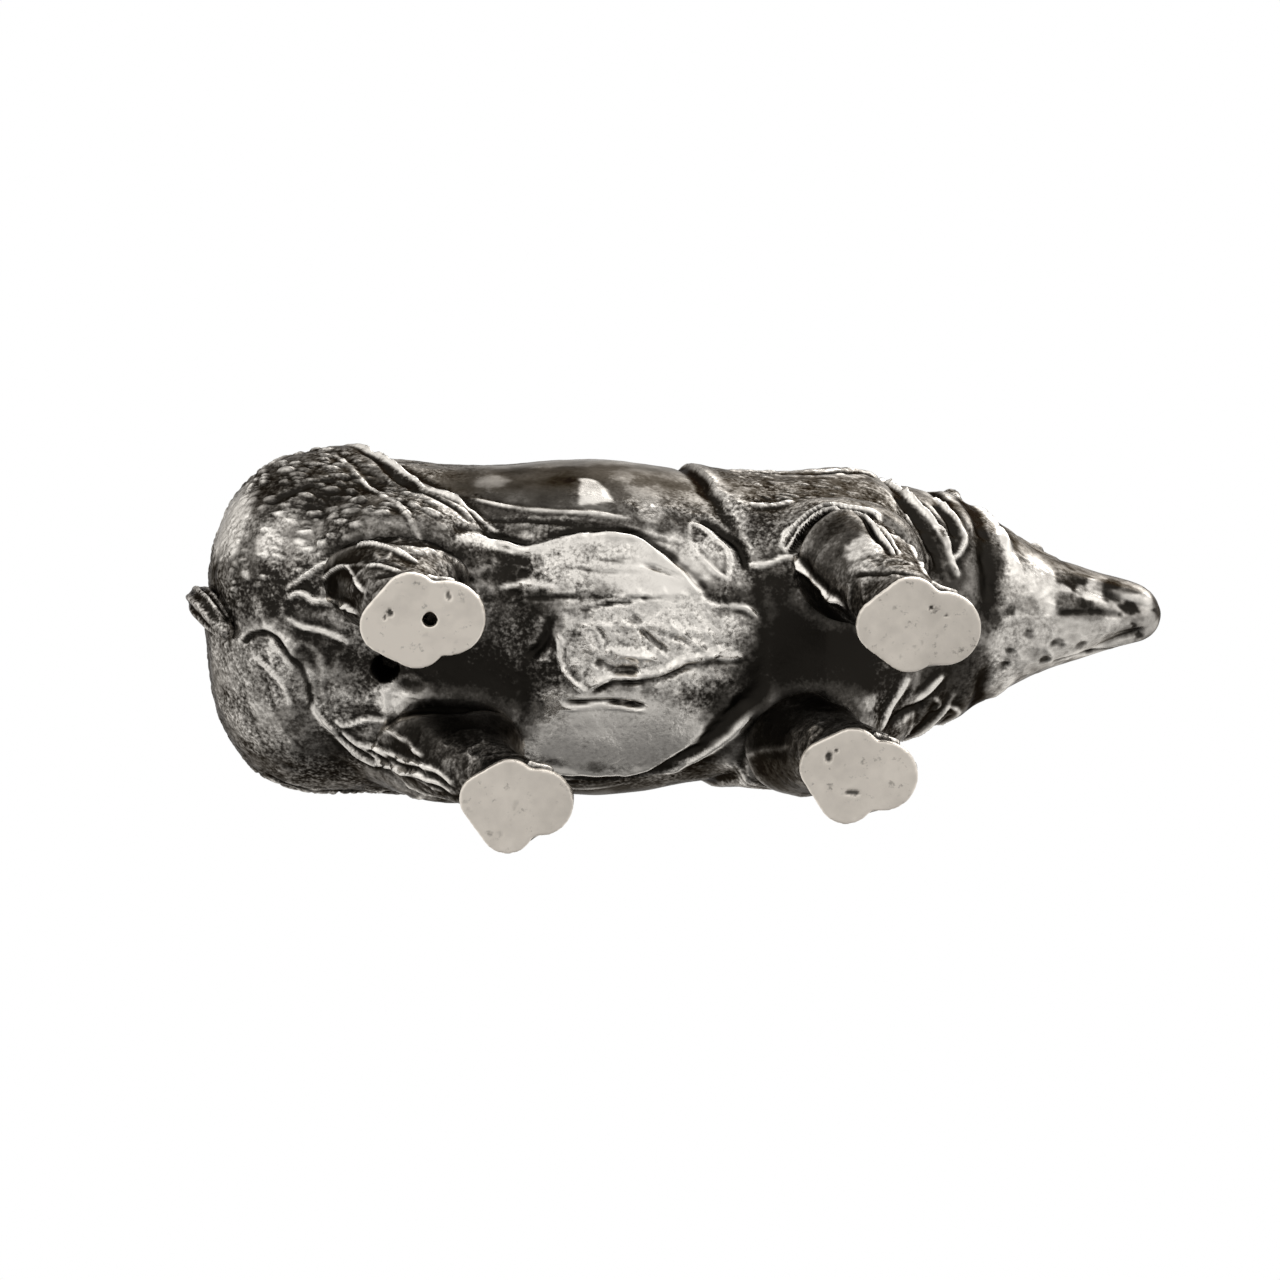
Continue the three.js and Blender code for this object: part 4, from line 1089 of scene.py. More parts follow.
def burnish_and_paint_light(skin, base):
    """Sets the shine: bright on crests and rubbed places, with painted highlights and reflections among them,
    and dark in hollows and where the oxide stayed, with painted shade among them.
    """
    # Rubbed places, painted highlights and painted reflections brighten the shine.
    shine = base + noise(skin.at, *TARNISH_CLOUDS) + patches(skin.at, RUBBED_AND_HIGHLIGHTS, RUBBED_AND_HIGHLIGHTS_SEED)
    spotty = ease(*MOTTLE_EDGE, noise(skin.at, MOTTLE_SPOTS))
    # Oxide, painted shade and a painted dark reflection darken the shine.
    shine *= 1.0 - patches(skin.at, OXIDE_AND_SHADE, OXIDE_AND_SHADE_SEED)
    shine *= 1.0 - spotty * patches(skin.at, MOTTLED, MOTTLED_SEED)
    for reach, weight, limits in RELIEF_SHINE:
        shine += weight * np.clip(skin.lift - skin.blurred(skin.lift, reach), *limits)
    # Grooves darken the shine, and crests brighten it as rubbed silver with a painted highlight along them.
    for weight, limits in LINE_SHINE:
        shine += weight * np.clip(skin.lines, *limits)
    skin.grain *= 1.0 - LINE_GRAIN_LOSS * np.clip(np.abs(skin.lines), 0.0, 1.0)
    skin.shine = shine


def paint(mesh, shine, grain):
    """Stores the shine and the grain of each point on a mesh."""
    for label, values in (("shine", shine), ("grain", grain)):
        layer = mesh.attributes.new(label, "FLOAT", "POINT")
        layer.data.foreach_set("value", np.clip(values, 0.0, 1.0))


def grid_piece(name, at, facing, shine, grain, first_end, last_end):
    """A closed mesh from rows of points in millimetres, with a fan at each end."""
    rows, columns = at.shape[:2]
    index = np.arange(rows * columns).reshape(rows, columns)
    after = np.roll(index, -1, axis=1)
    quads = np.stack([index[:-1], after[:-1], after[1:], index[1:]], axis=-1).reshape(-1, 4)
    first, last = rows * columns, rows * columns + 1
    opening = np.stack([np.full(columns, first), after[0], index[0]], axis=-1)
    closing = np.stack([index[-1], after[-1], np.full(columns, last)], axis=-1)
    points = np.concatenate([at.reshape(-1, 3), [first_end, last_end]]) * MM
    mesh = bpy.data.meshes.new(name)
    mesh.from_pydata(points.tolist(), [], quads.tolist() + opening.tolist() + closing.tolist())
    mesh.polygons.foreach_set("use_smooth", np.ones(len(mesh.polygons), bool))
    u = np.arange(columns) / columns
    u_after = u + 1.0 / columns
    v = np.linspace(*BAKE_ROWS, rows)
    low, high = np.repeat(v[:-1], columns), np.repeat(v[1:], columns)
    left, right = np.tile(u, rows - 1), np.tile(u_after, rows - 1)
    side = np.stack([left, low, right, low, right, high, left, high], axis=-1)
    middle = (u + u_after) / 2
    bottom, top = (np.full(columns, edge) for edge in BAKE_ROWS)
    start = np.stack([middle, np.zeros(columns), u_after, bottom, u, bottom], axis=-1)
    stop = np.stack([u, top, u_after, top, middle, np.ones(columns)], axis=-1)
    layer = mesh.uv_layers.new(name="OFBake")
    layer.data.foreach_set("uv", np.concatenate([part.reshape(-1) for part in (side, start, stop)]))
    paint(mesh, *(np.concatenate([field.reshape(-1), [field[0].mean(), field[-1].mean()]])
                  for field in (shine, grain)))
    ends = unit(np.array([first_end - at[0].mean(axis=0), last_end - at[-1].mean(axis=0)]))
    normals = np.concatenate([facing.reshape(-1, 3), ends])
    mesh.normals_split_custom_set_from_vertices(normals.tolist())
    piece = bpy.data.objects.new(name, mesh)
    bpy.context.scene.collection.objects.link(piece)
    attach(piece, BODY)
    return piece


def in_hide_silver(piece, node):
    """Lets a piece stand for a node, in the hide's silver."""
    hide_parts(node)
    piece.data.materials.append(hide_silver())


def skin_piece(skin, name, node):
    """A piece from a whole skin, standing for one node."""
    done = skin.finished()
    piece = grid_piece(name, done.at, done.facing, skin.shine, skin.grain, *np.array(skin.ends))
    in_hide_silver(piece, node)


def rows_between(field, lows, highs, count):
    """Rows of the field evenly spaced, in each column, from row lows to row highs."""
    share = np.linspace(0.0, 1.0, count)[:, None]
    place = np.clip(lows + (highs - lows) * share, 0.0, field.shape[0] - 1.0)
    below = np.minimum(np.floor(place).astype(int), field.shape[0] - 2)
    blend = place - below
    columns = np.arange(field.shape[1])
    if field.ndim == 3:
        blend = blend[..., None]
    return field[below, columns] * (1.0 - blend) + field[below + 1, columns] * blend


def tucked(parts, end, shift):
    """The fields of a casting with one more ring at a seam, drawn in towards the spine and out of sight."""
    ring = parts[0][end]
    spine = np.array(SPINE, float)
    middle = np.stack([np.interp(ring[:, 0], spine[:, 0], spine[:, k]) for k in range(3)], axis=-1)
    outward = unit(sum(np.roll(parts[1][end], k, axis=0) for k in range(-SEAM_FACING, SEAM_FACING + 1)))
    inner = ring + SEAM_TUCK * unit(unit(middle - ring) - outward) + (shift, 0, 0)
    rings = [inner] + [part[end] for part in parts[1:]]
    return [np.concatenate([ring[None], part] if end == 0 else [part, ring[None]])
            for ring, part in zip(rings, parts)]


def seam_rows(skin):
    """For each seam between the hide castings, the row at which it crosses each column."""
    seams = []
    for place in range(1, len(HIDE_NODES)):
        rows = np.sum(skin.owner < place, axis=0).astype(float)
        seams.append(softened(rows[None], *SEAM_EVEN, (False, False))[0])
    return seams


def scaled_part(skin, seams):
    """How strongly scales cover the hide: on the rump, and faintly on the shoulder."""
    x, y, z = np.moveaxis(skin.at, -1, 0)
    rows = np.arange(len(skin.at))[:, None]
    low = np.where(y > 0.0, *RUMP_LOW)
    lean, drop = RUMP_LEAN
    rump = ease(*RUMP_BEHIND, (seams[0] - rows) * skin.step)
    rump *= ease(low, low + RUMP_SOFT, z + lean * np.abs(y) - drop)
    rump *= RUMP_THIN + (1.0 - RUMP_THIN) * ease(*RUMP_REAR, x)
    shoulder = ease(*SHOULDER_BEHIND, (rows - seams[1]) * skin.step)
    shoulder *= ease(*SHOULDER_AHEAD, (seams[2] - rows) * skin.step) * ease(*SHOULDER_LOW, z)
    share = np.clip(SCALED_SHARE + noise(skin.at, SCALED_CLOUDS), *SCALED_LIMITS)
    return np.maximum(rump, SHOULDER_SHARE * shoulder) * share


def scale_relief(points, size):
    """Relief of scales of that size in leaning rows, for a height of 1."""
    x, y, z = np.moveaxis(points, -1, 0)
    flat, steep = ROW_LEAN
    rowed = np.stack([(x * flat - z * steep) * ROW_DRAW, y, x * steep + z * flat], axis=-1)
    domes, own = pebbles(rowed + noise(points, ROW_WANDER)[..., None], size, SCALE_SEED)
    return domes * (SCALE_LEAST + SCALE_RISE * ease(*SCALE_KINDS, own)) - SCALE_SETTLE


def hide_grain(skin, seams, sizes):
    """Scales, wrinkles, creases and casting lumps of the hide."""
    scaled = scaled_part(skin, seams)
    skin.lift += scaled * (sizes.scale_height / MM) * scale_relief(skin.at, sizes.scale_size / MM)
    smooth = 1.0 - HIDE_CALM * patches(skin.at, SMOOTH, SMOOTH_SEED)
    clouds = ease(*GRAIN_CLOUD_EDGE, noise(skin.at, GRAIN_CLOUDS))
    skin.grain = GRAIN_LEAST + (1.0 - GRAIN_LEAST) * smooth
    skin.grain *= GRAIN_CLOUD_LEAST + (1.0 - GRAIN_CLOUD_LEAST) * clouds
    wrinkles = noise(skin.at * np.array(HIDE_STRETCH), HIDE_LONG_WRINKLES)
    wrinkles += noise(skin.at, HIDE_FINE_WRINKLES)
    skin.lift += sizes.wrinkle_height / MM * (1.0 - SCALED_CALM * scaled) * smooth * wrinkles
    crumple = sum(share * creases(skin.at, *kind) for share, *kind in HIDE_CREASES) - HIDE_CREASE_SETTLE
    skin.lift += sizes.crease_height / MM * patches(skin.at, CRUMPLED, CRUMPLED_SEED) * crumple
    skin.lift += noise(skin.at, HIDE_LUMPS)


def leg_grain(skin, sizes):
    """Wrinkles, creases and casting lumps of a leg."""
    low = ease(*LEG_START, skin.at[..., 2])
    smooth = 1.0 - LEG_CALM * patches(skin.at, SMOOTH, SMOOTH_SEED)
    skin.grain = GRAIN_LEAST + LEG_GRAIN * smooth
    skin.lift += low * smooth * sizes.wrinkle_height / MM * noise(skin.at, *LEG_WRINKLES)
    crumple = creases(skin.at * np.array(LEG_CREASE_STRETCH), *LEG_CREASES) - LEG_CREASE_SETTLE
    skin.lift += low * smooth * LEG_CREASE_SHARE * sizes.crease_height / MM * crumple
    skin.lift += low * noise(skin.at, LEG_LUMPS)


def seam_folds(skin, seams):
    """Sharpens the folds along the seams: a thick lip on one side and a dark undercut on the other."""
    rows, columns = (np.arange(count) for count in skin.at.shape[:2])
    under = np.cos(2.0 * math.pi * columns / len(columns)) * 0.5 + 0.5
    belly = ease(*SEAM_BELLY, under)
    wander, wave, wander_seed = SEAM_WANDER
    swell, swell_wave, swell_seed = SEAM_SWELL
    cut, cut_place, cut_reach = UNDERCUT
    for rows_of_seam, (lip_ahead, height, width, at_belly) in zip(seams, SEAM_FOLDS):
        slope = (np.roll(rows_of_seam, -1) - np.roll(rows_of_seam, 1)) / 2.0 * skin.step / skin.turn()
        gap = (rows[:, None] - rows_of_seam) * skin.step / np.sqrt(1.0 + slope ** 2)
        gap = gap if lip_ahead else -gap
        gap = gap + wander * lumps(skin.at, wave, wander_seed)
        strength = height * (1.0 - (1.0 - at_belly) * belly)
        strength = strength * (1.0 + swell * lumps(skin.at, swell_wave, swell_seed))
        thick, steep = (bell(gap - LIP_PLACE, reach * width) for reach in LIP_REACH)
        hollow = np.where(gap < 0.0, bell(gap + cut_place * width, cut_reach * width), 0.0)
        skin.lift += strength * (np.where(gap > 0.0, thick, steep) - cut * hollow)


def swell_beside(skin, tree, height, width, reach):
    """Raises a skin softly where it comes near the castings of a tree."""
    skin.lift += height * bell(reach_to(tree, skin.at, reach), width)


def toenails(skin, name):
    """Raises the three nails of a foot, with a groove round each, and gives where they are."""
    x, y, tall = np.moveaxis(skin.at, -1, 0)
    middle = LEG_AXES[name][0]
    angle = np.arctan2(y - middle[1], x - middle[0])
    nails = np.zeros(skin.lift.shape)
    for toe in TOE_ANGLES:
        off = angle - math.radians(toe + FOOT_TURN[name])
        off = np.abs((off + math.pi) % (2.0 * math.pi) - math.pi) * FOOT_RADIUS
        arched = tall + NAIL_ARCH * off
        nail = fall(*NAIL_HALF, off) * fall(*NAIL_TOP, arched)
        groove = bell(off - NAIL_GROOVE_SIDE, NAIL_GROOVE_WIDTH) * fall(*NAIL_GROOVE_SIDE_RUN, tall)
        groove += fall(*NAIL_GROOVE_TOP_RUN, off) * bell(arched - NAIL_GROOVE_TOP, NAIL_GROOVE_WIDTH)
        skin.lift += ease(*NAIL_BOTTOM, tall) * (NAIL_HEIGHT * nail - NAIL_GROOVE * groove)
        nails = np.maximum(nails, nail)
    return nails


def wire(tree, source, target):
    """Joins an output socket to an input socket."""
    tree.links.new(source, target)


def set_inputs(node, **values):
    """Sets inputs of a node by name, with underscores for spaces."""
    for label, value in values.items():
        node.inputs[label.replace("_", " ")].default_value = value


def math_node(tree, kind, first, second, clamp=False):
    """A math node fed by sockets or numbers."""
    node = tree.nodes.new("ShaderNodeMath")
    node.operation = kind
    node.use_clamp = clamp
    for socket, value in zip(node.inputs, (first, second)):
        if isinstance(value, (int, float)):
            socket.default_value = value
        else:
            wire(tree, value, socket)
    return node.outputs["Value"]


def about_zero(tree, source, spread):
    """A socket from 0 to 1 spread evenly about zero instead."""
    out = math_node(tree, "MULTIPLY_ADD", source, spread)
    out.node.inputs[2].default_value = -0.5 * spread
    return out


def attribute(tree, label):
    """A value stored on the points of a mesh."""
    node = tree.nodes.new("ShaderNodeAttribute")
    node.attribute_name = label
    return node.outputs["Fac"]


def tarnish_group():
    """The node group shared by both silvers: specks, flecks, mottle and a fine cast grain."""
    name = "silver_tarnish"
    if name in bpy.data.node_groups:
        return bpy.data.node_groups[name]
    group = bpy.data.node_groups.new(name, "ShaderNodeTree")
    for label, default in TARNISH_INPUTS:
        socket = group.interface.new_socket(label, in_out="INPUT", socket_type="NodeSocketFloat")
        socket.default_value = default
    nodes = group.nodes
    enter, leave = nodes.new("NodeGroupInput"), nodes.new("NodeGroupOutput")
    where = nodes.new("ShaderNodeTexCoord")
    for label, scale, detail, roughness in TARNISH_NOISES:
        group.interface.new_socket(label, in_out="OUTPUT", socket_type="NodeSocketFloat")
        texture = nodes.new("ShaderNodeTexNoise")
        set_inputs(texture, Detail=detail, Roughness=roughness)
        wire(group, where.outputs["Object"], texture.inputs["Vector"])
        wire(group, enter.outputs[scale], texture.inputs["Scale"])
        result = texture.outputs["Fac"]
        if label == "Specks":
            edge = nodes.new("ShaderNodeMapRange")
            edge.interpolation_type = "SMOOTHSTEP"
            set_inputs(edge, From_Max=SPECK_FULL)
            wire(group, enter.outputs["Speck Reach"], edge.inputs["From Min"])
            wire(group, result, edge.inputs["Value"])
            result = edge.outputs["Result"]
        wire(group, result, leave.inputs[label])
    return group


def new_silver(name):
    """A metal with the tarnish group in it: the material, its shader and the group's node."""
    material = bpy.data.materials.new(name)
    material.use_nodes = True
    shader = material.node_tree.nodes["Principled BSDF"]
    set_inputs(shader, Metallic=1.0)
    tarnish = material.node_tree.nodes.new("ShaderNodeGroup")
    tarnish.node_tree = tarnish_group()
    return material, shader, tarnish


def wear(tree, shader, worn, places, colours, roughness):
    """Colours a silver from its darkest to its brightest, and polishes it, by how worn it is."""
    ramp = tree.nodes.new("ShaderNodeValToRGB")
    stops = ramp.color_ramp.elements
    stops[0].position, stops[1].position = places[0], places[-1]
    stops[0].color, stops[1].color = (*colours[0], 1.0), (*colours[-1], 1.0)
    for place, colour in zip(places[1:-1], colours[1:-1]):
        stops.new(place).color = (*colour, 1.0)
    wire(tree, worn, ramp.inputs["Fac"])
    wire(tree, ramp.outputs["Color"], shader.inputs["Base Color"])
    gloss = tree.nodes.new("ShaderNodeMapRange")
    set_inputs(gloss, To_Min=roughness[0], To_Max=roughness[1])
    wire(tree, worn, gloss.inputs["Value"])
    wire(tree, gloss.outputs["Result"], shader.inputs["Roughness"])


def roughen(tree, shader, relief, strength, height):
    """Gives a silver its fine grain."""
    bump = tree.nodes.new("ShaderNodeBump")
    set_inputs(bump, Strength=strength, Distance=height)
    wire(tree, relief, bump.inputs["Height"])
    wire(tree, bump.outputs["Normal"], shader.inputs["Normal"])


def hide_silver():
    """Cast silver: black oxide in the hollows, grey on the open hide and bright metal on rubbed crests, by a
    shine that also holds painted highlights, reflections and shade.
    """
    name = "oxidised_hide_silver"
    if name in bpy.data.materials:
        return bpy.data.materials[name]
    finish = bpy.context.scene.rhino_silver
    material, shader, tarnish = new_silver(name)
    tree = material.node_tree
    set_inputs(shader, Specular_Tint=(*finish.edge_tint, 1.0))
    set_inputs(tarnish, Grain_Scale=1.0 / finish.grain_size, Speck_Scale=1.0 / finish.speck_size,
               Fleck_Scale=1.0 / finish.fleck_size, Speck_Reach=HIDE_SPECK_REACH)
    grain = attribute(tree, "grain")
    flecks = about_zero(tree, tarnish.outputs["Flecks"], finish.fleck_strength)
    specks = math_node(tree, "MULTIPLY", tarnish.outputs["Specks"], HIDE_SPECK_DARK)
    spots = math_node(tree, "MULTIPLY", math_node(tree, "ADD", flecks, specks), grain)
    mottle = about_zero(tree, tarnish.outputs["Mottle"], MOTTLE_SPREAD)
    worn = math_node(tree, "ADD", math_node(tree, "ADD", attribute(tree, "shine"), mottle), spots, True)
    # The dark colours show oxide and painted shade, and the bright one rubbed silver and painted highlights.
    colours = (finish.oxide_colour, finish.dark_colour, finish.grey_colour, finish.bright_colour)
    wear(tree, shader, worn, HIDE_STOPS, colours, (finish.oxide_roughness, finish.bright_roughness))
    relief = math_node(tree, "ADD", tarnish.outputs["Height"], tarnish.outputs["Flecks"])
    roughen(tree, shader, math_node(tree, "MULTIPLY", relief, grain), *HIDE_BUMP)
    return material


def sole_silver():
    """Filed and satin-polished silver of the soles, with faint blemishes."""
    name = "satin_sole_silver"
    if name in bpy.data.materials:
        return bpy.data.materials[name]
    finish = bpy.context.scene.rhino_silver
    material, shader, tarnish = new_silver(name)
    tree = material.node_tree
    set_inputs(tarnish, Grain_Scale=SOLE_GRAIN_SCALE, Speck_Scale=SOLE_SPECK_SCALE,
               Speck_Reach=SOLE_SPECK_REACH)
    specks = math_node(tree, "MULTIPLY", tarnish.outputs["Specks"], SOLE_SPECK_DARK)
    mottle = about_zero(tree, tarnish.outputs["Mottle"], MOTTLE_SPREAD)
    worn = math_node(tree, "SUBTRACT", math_node(tree, "ADD", attribute(tree, "shine"), mottle), specks, True)
    colours = (finish.dark_colour, finish.sole_colour)
    wear(tree, shader, worn, SOLE_STOPS, colours, (SOLE_STAIN_ROUGHNESS, finish.sole_roughness))
    roughen(tree, shader, tarnish.outputs["Height"], *SOLE_BUMP)
    return material


def remeshed(node, name, cell, passes):
    """A finely remeshed and softened copy of a CAD node."""
    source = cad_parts[node]
    mesh = source.data.copy()
    mesh.transform(source.matrix_world)
    mesh.name = name
    mesh.materials.clear()
    piece = bpy.data.objects.new(name, mesh)
    bpy.context.scene.collection.objects.link(piece)
    weld = piece.modifiers.new("weld", "WELD")
    weld.merge_threshold = WELD
    fine = piece.modifiers.new("fine", "REMESH")
    fine.mode = "VOXEL"
    fine.voxel_size = cell
    soft = piece.modifiers.new("soft", "SMOOTH")
    soft.factor = SMOOTH_FACTOR
    soft.iterations = passes
    graph = bpy.context.evaluated_depsgraph_get()
    done = bpy.data.meshes.new_from_object(piece.evaluated_get(graph))
    piece.modifiers.clear()
    piece.data = done
    done.name = name
    bpy.data.meshes.remove(mesh)
    done.polygons.foreach_set("use_smooth", np.ones(len(done.polygons), bool))
    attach(piece, BODY)
    return piece


def mesh_points(piece):
    """Points and normals of a mesh, in millimetres."""
    vertices = piece.data.vertices
    points, normals = np.zeros(len(vertices) * 3), np.zeros(len(vertices) * 3)
    vertices.foreach_get("co", points)
    vertices.foreach_get("normal", normals)
    return points.reshape(-1, 3) / MM, normals.reshape(-1, 3)


def store(piece, points, shine):
    """Puts points in millimetres, their shine and a full grain on a mesh."""
    piece.data.vertices.foreach_set("co", (points * MM).reshape(-1))
    paint(piece.data, shine, np.ones(len(points)))
    piece.data.update()


class RhinoHideSizes(bpy.types.PropertyGroup):
    """Sizes of the hide's relief."""
    skin_step: FloatProperty(
        name="Skin Step", description="Distance between rows of the skin", default=0.00037, unit="LENGTH")
    fold_strength: FloatProperty(
        name="Fold Strength", description="Share of the full height of the folds", default=1.0, min=0.0,
        max=2.0)
    scale_size: FloatProperty(
        name="Scale Size", description="Distance between the scales of the rump", default=0.00135,
        unit="LENGTH")
    scale_height: FloatProperty(
        name="Scale Height", description="Height of the scales of the rump", default=0.00055, unit="LENGTH")
    wrinkle_height: FloatProperty(
        name="Wrinkle Height", description="Height of the fine wrinkles", default=0.00022, unit="LENGTH")
    crease_height: FloatProperty(
        name="Crease Height", description="Height of the crumpled creases", default=0.0004, unit="LENGTH")


class RhinoSilverFinish(bpy.types.PropertyGroup):
    """Colours and gloss of the silver."""
    oxide_colour: FloatVectorProperty(
        name="Oxide", description="Black oxide in the hollows", default=(0.02, 0.0176, 0.0146), size=3,
        subtype="COLOR")
    dark_colour: FloatVectorProperty(
        name="Dark Silver", description="Darkened silver of the open hide", default=(0.078, 0.0705, 0.0615),
        size=3, subtype="COLOR")
    grey_colour: FloatVectorProperty(
        name="Grey Silver", description="Half-rubbed silver", default=(0.3, 0.28, 0.254), size=3,
        subtype="COLOR")
    bright_colour: FloatVectorProperty(
        name="Bright Silver", description="Silver rubbed bright", default=(0.87, 0.825, 0.76), size=3,
        subtype="COLOR")
    sole_colour: FloatVectorProperty(
        name="Sole Silver", description="Satin silver of the soles", default=(0.92, 0.845, 0.75), size=3,
        subtype="COLOR")
    edge_tint: FloatVectorProperty(
        name="Edge Tint", description="Silver seen edge on", default=(0.4, 0.39, 0.38), size=3,
        subtype="COLOR")
    oxide_roughness: FloatProperty(
        name="Oxide Roughness", description="Roughness of the dark hollows", default=0.44, subtype="FACTOR")
    bright_roughness: FloatProperty(
        name="Bright Roughness", description="Roughness of the rubbed crests", default=0.2, subtype="FACTOR")
    sole_roughness: FloatProperty(
        name="Sole Roughness", description="Roughness of the satin soles", default=0.38, subtype="FACTOR")
    grain_size: FloatProperty(
        name="Grain Size", description="Size of the cast grain", default=0.0009, unit="LENGTH")
    speck_size: FloatProperty(
        name="Speck Size", description="Size of the dark specks", default=0.0009, unit="LENGTH")
    fleck_size: FloatProperty(
        name="Fleck Size", description="Size of the fine bright flecks", default=0.0006, unit="LENGTH")
    fleck_strength: FloatProperty(
        name="Fleck Strength", description="How far the flecks stand out from the tarnish", default=1.5)


class RhinoStudioSet(bpy.types.PropertyGroup):
    """The studio round the figurine."""
    floor_colour: FloatVectorProperty(
        name="Floor", description="Pale floor", default=(0.86, 0.86, 0.85), size=3, subtype="COLOR")
    floor_width: FloatProperty(
        name="Floor Width", description="Width of the floor", default=3.0, unit="LENGTH")
    sky_level: FloatProperty(
        name="Sky Level", description="Light from above", default=1.0)
    ground_level: FloatProperty(
        name="Ground Level", description="Light seen in reflections from below", default=0.38)
    side_glow: FloatProperty(
        name="Side Glow", description="Light added below on the animal's right", default=0.6)
    left_glow: FloatProperty(
        name="Left Glow", description="Light added below on the animal's left", default=0.16)
    card_glow: FloatProperty(
        name="Card Glow", description="Light added below by cards ahead and behind", default=0.42)
    under_glow: FloatProperty(
        name="Under Glow", description="Light added straight below", default=0.22)
    lamp_power: FloatProperty(
        name="Lamp Power", description="Power of the softbox", default=6.0, unit="POWER")
    camera_distance: FloatProperty(
        name="Camera Distance", description="From the camera to the figurine", default=0.7, unit="LENGTH")
    camera_lens: FloatProperty(
        name="Camera Lens", description="Focal length in millimetres", default=120.35)
    camera_tilt: FloatProperty(
        name="Camera Tilt", description="Angle from straight below", default=math.radians(13.5),
        subtype="ANGLE")


class RHINO_OT_hide(bpy.types.Operator):
    """Skins the five hide castings, from rump to head"""
    bl_idname = "rhino.hide"
    bl_label = "Hide Castings"

    def execute(self, context):
        sizes = context.scene.rhino_hide
        step = sizes.skin_step / MM
        legs = casting(*LEG_NODES)[0]
        skin = wrap(casting(*HIDE_NODES), SPINE, AHEAD, DOWN, step, HIDE_COLUMNS, HIDE_RAY, skirt=legs)
        seams = seam_rows(skin)
        swell_beside(skin, legs, *HIDE_SWELL)
        seam_folds(skin, seams)
        carve(skin, on_both_sides(PAIRED_HIDE_LINES) + SINGLE_HIDE_LINES, sizes.fold_strength)
        hide_grain(skin, seams, sizes)
        slim_muzzle(skin)
        burnish_and_paint_light(skin, HIDE_SHINE + BACK_SHINE * ease(*BACK_HEIGHT, skin.at[..., 2]))
        # Paints the reflection of a bright facet on the right flank into the shine.
        skin.shine += GLINT_SHINE * ease(*GLINT_EDGE, facet(skin.at, GLINT) + noise(skin.at, GLINT_RAGGED))
        for middle, radius in PORES:
            sink(skin, middle, radius, PORE_DEPTH)
        for middle in NOSTRILS:
            sink(skin, middle, NOSTRIL_RADIUS, NOSTRIL_DEPTH)
        for middle in EYES:
            model_eye(skin, middle)
        drill_vent(skin)
        self.split(skin, seams)
        return {"FINISHED"}

    def split(self, skin, seams):
        """Parts the skin at its seams into one piece for each casting."""
        done = skin.finished()
        last = float(len(skin.at) - 1)
        limits = [np.zeros(HIDE_COLUMNS), *seams, np.full(HIDE_COLUMNS, last)]
        for place, (name, node) in enumerate(zip(HIDE_NAMES, HIDE_NODES)):
            lows, highs = limits[place], limits[place + 1]
            count = int(np.max(highs - lows)) + 1
            fields = (done.at, done.facing, skin.shine, skin.grain)
            parts = [rows_between(field, lows, highs, count) for field in fields]
            if place > 0:
                parts = tucked(parts, 0, SEAM_SHIFT)
            if place < len(HIDE_NODES) - 1:
                parts = tucked(parts, -1, -SEAM_SHIFT)
            ends = [parts[0][0].mean(axis=0), parts[0][-1].mean(axis=0)]
            piece = grid_piece(name, parts[0], unit(parts[1]), *parts[2:], *ends)
            in_hide_silver(piece, node)


class RHINO_OT_legs(bpy.types.Operator):
    """Skins the four legs, with their folds, wrinkles and toenails"""
    bl_idname = "rhino.legs"
    bl_label = "Legs"

    def execute(self, context):
        sizes = context.scene.rhino_hide
        hide = casting(*HIDE_NODES)[0]
        lines = on_both_sides(PAIRED_LEG_LINES) + REAR_LINES
        for name in LEG_NODES:
            skin = wrap(casting(name), LEG_AXES[name], UP, AHEAD, sizes.skin_step / MM, LEG_COLUMNS, LEG_RAY,
                        closed=(False, True), keep_off=(hide, LEG_KEEP_OFF), soften=LEG_SOFTEN)
            at = skin.at.copy()
            at[0, :, 2] = SOLE_TOP
            skin.place(at)
            skin.ends[0] = skin.ends[0] * (1, 1, 0) + (0, 0, SOLE_TOP)
            swell_beside(skin, hide, *LEG_SWELL)
            skin.lift -= HEM_DUCK * ease(*HEM_EDGE, skin.at[..., 2] - hem_height(skin.at))
            carve(skin, lines, sizes.fold_strength)
            leg_grain(skin, sizes)
            nails = toenails(skin, name)
            burnish_and_paint_light(skin, LEG_SHINE + NAIL_SHINE * nails)
            skin_piece(skin, name + "_skin", name)
        return {"FINISHED"}


class RHINO_OT_soles(bpy.types.Operator):
    """Softens the edges of the four soles and gives them their satin silver"""
    bl_idname = "rhino.soles"
    bl_label = "Soles"

    def execute(self, context):
        for name in SOLE_NODES:
            piece = remeshed(name, name + "_plate", SOLE_CELL, SOLE_PASSES)
            points, _ = mesh_points(piece)
            shine = SOLE_SHINE[name] + noise(points, *SOLE_CLOUDS)
            spots, places = (ease(*edge, noise(points, kind))
                             for kind, edge in (SOLE_STAIN_SPOTS, SOLE_STAIN_PLACES))
            shine -= SOLE_STAIN * spots * places
            for sole, (x, y), (along, across) in SOLE_PITS:
                if sole == name:
                    gap = np.hypot((points[:, 0] - x) / along, (points[:, 1] - y) / across)
                    pit = fall(*SOLE_PIT_EDGE, gap + noise(points, SOLE_PIT_RAGGED))
                    pit = pit * (points[:, 2] < SOLE_UNDERSIDE)
                    points[:, 2] += SOLE_PIT_DEPTH * pit
                    shine -= SOLE_PIT_DARK * pit
            points[:, 2] = np.maximum(points[:, 2], 0.0)
            store(piece, points, shine)
            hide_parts(name)
            piece.data.materials.append(sole_silver())
        return {"FINISHED"}


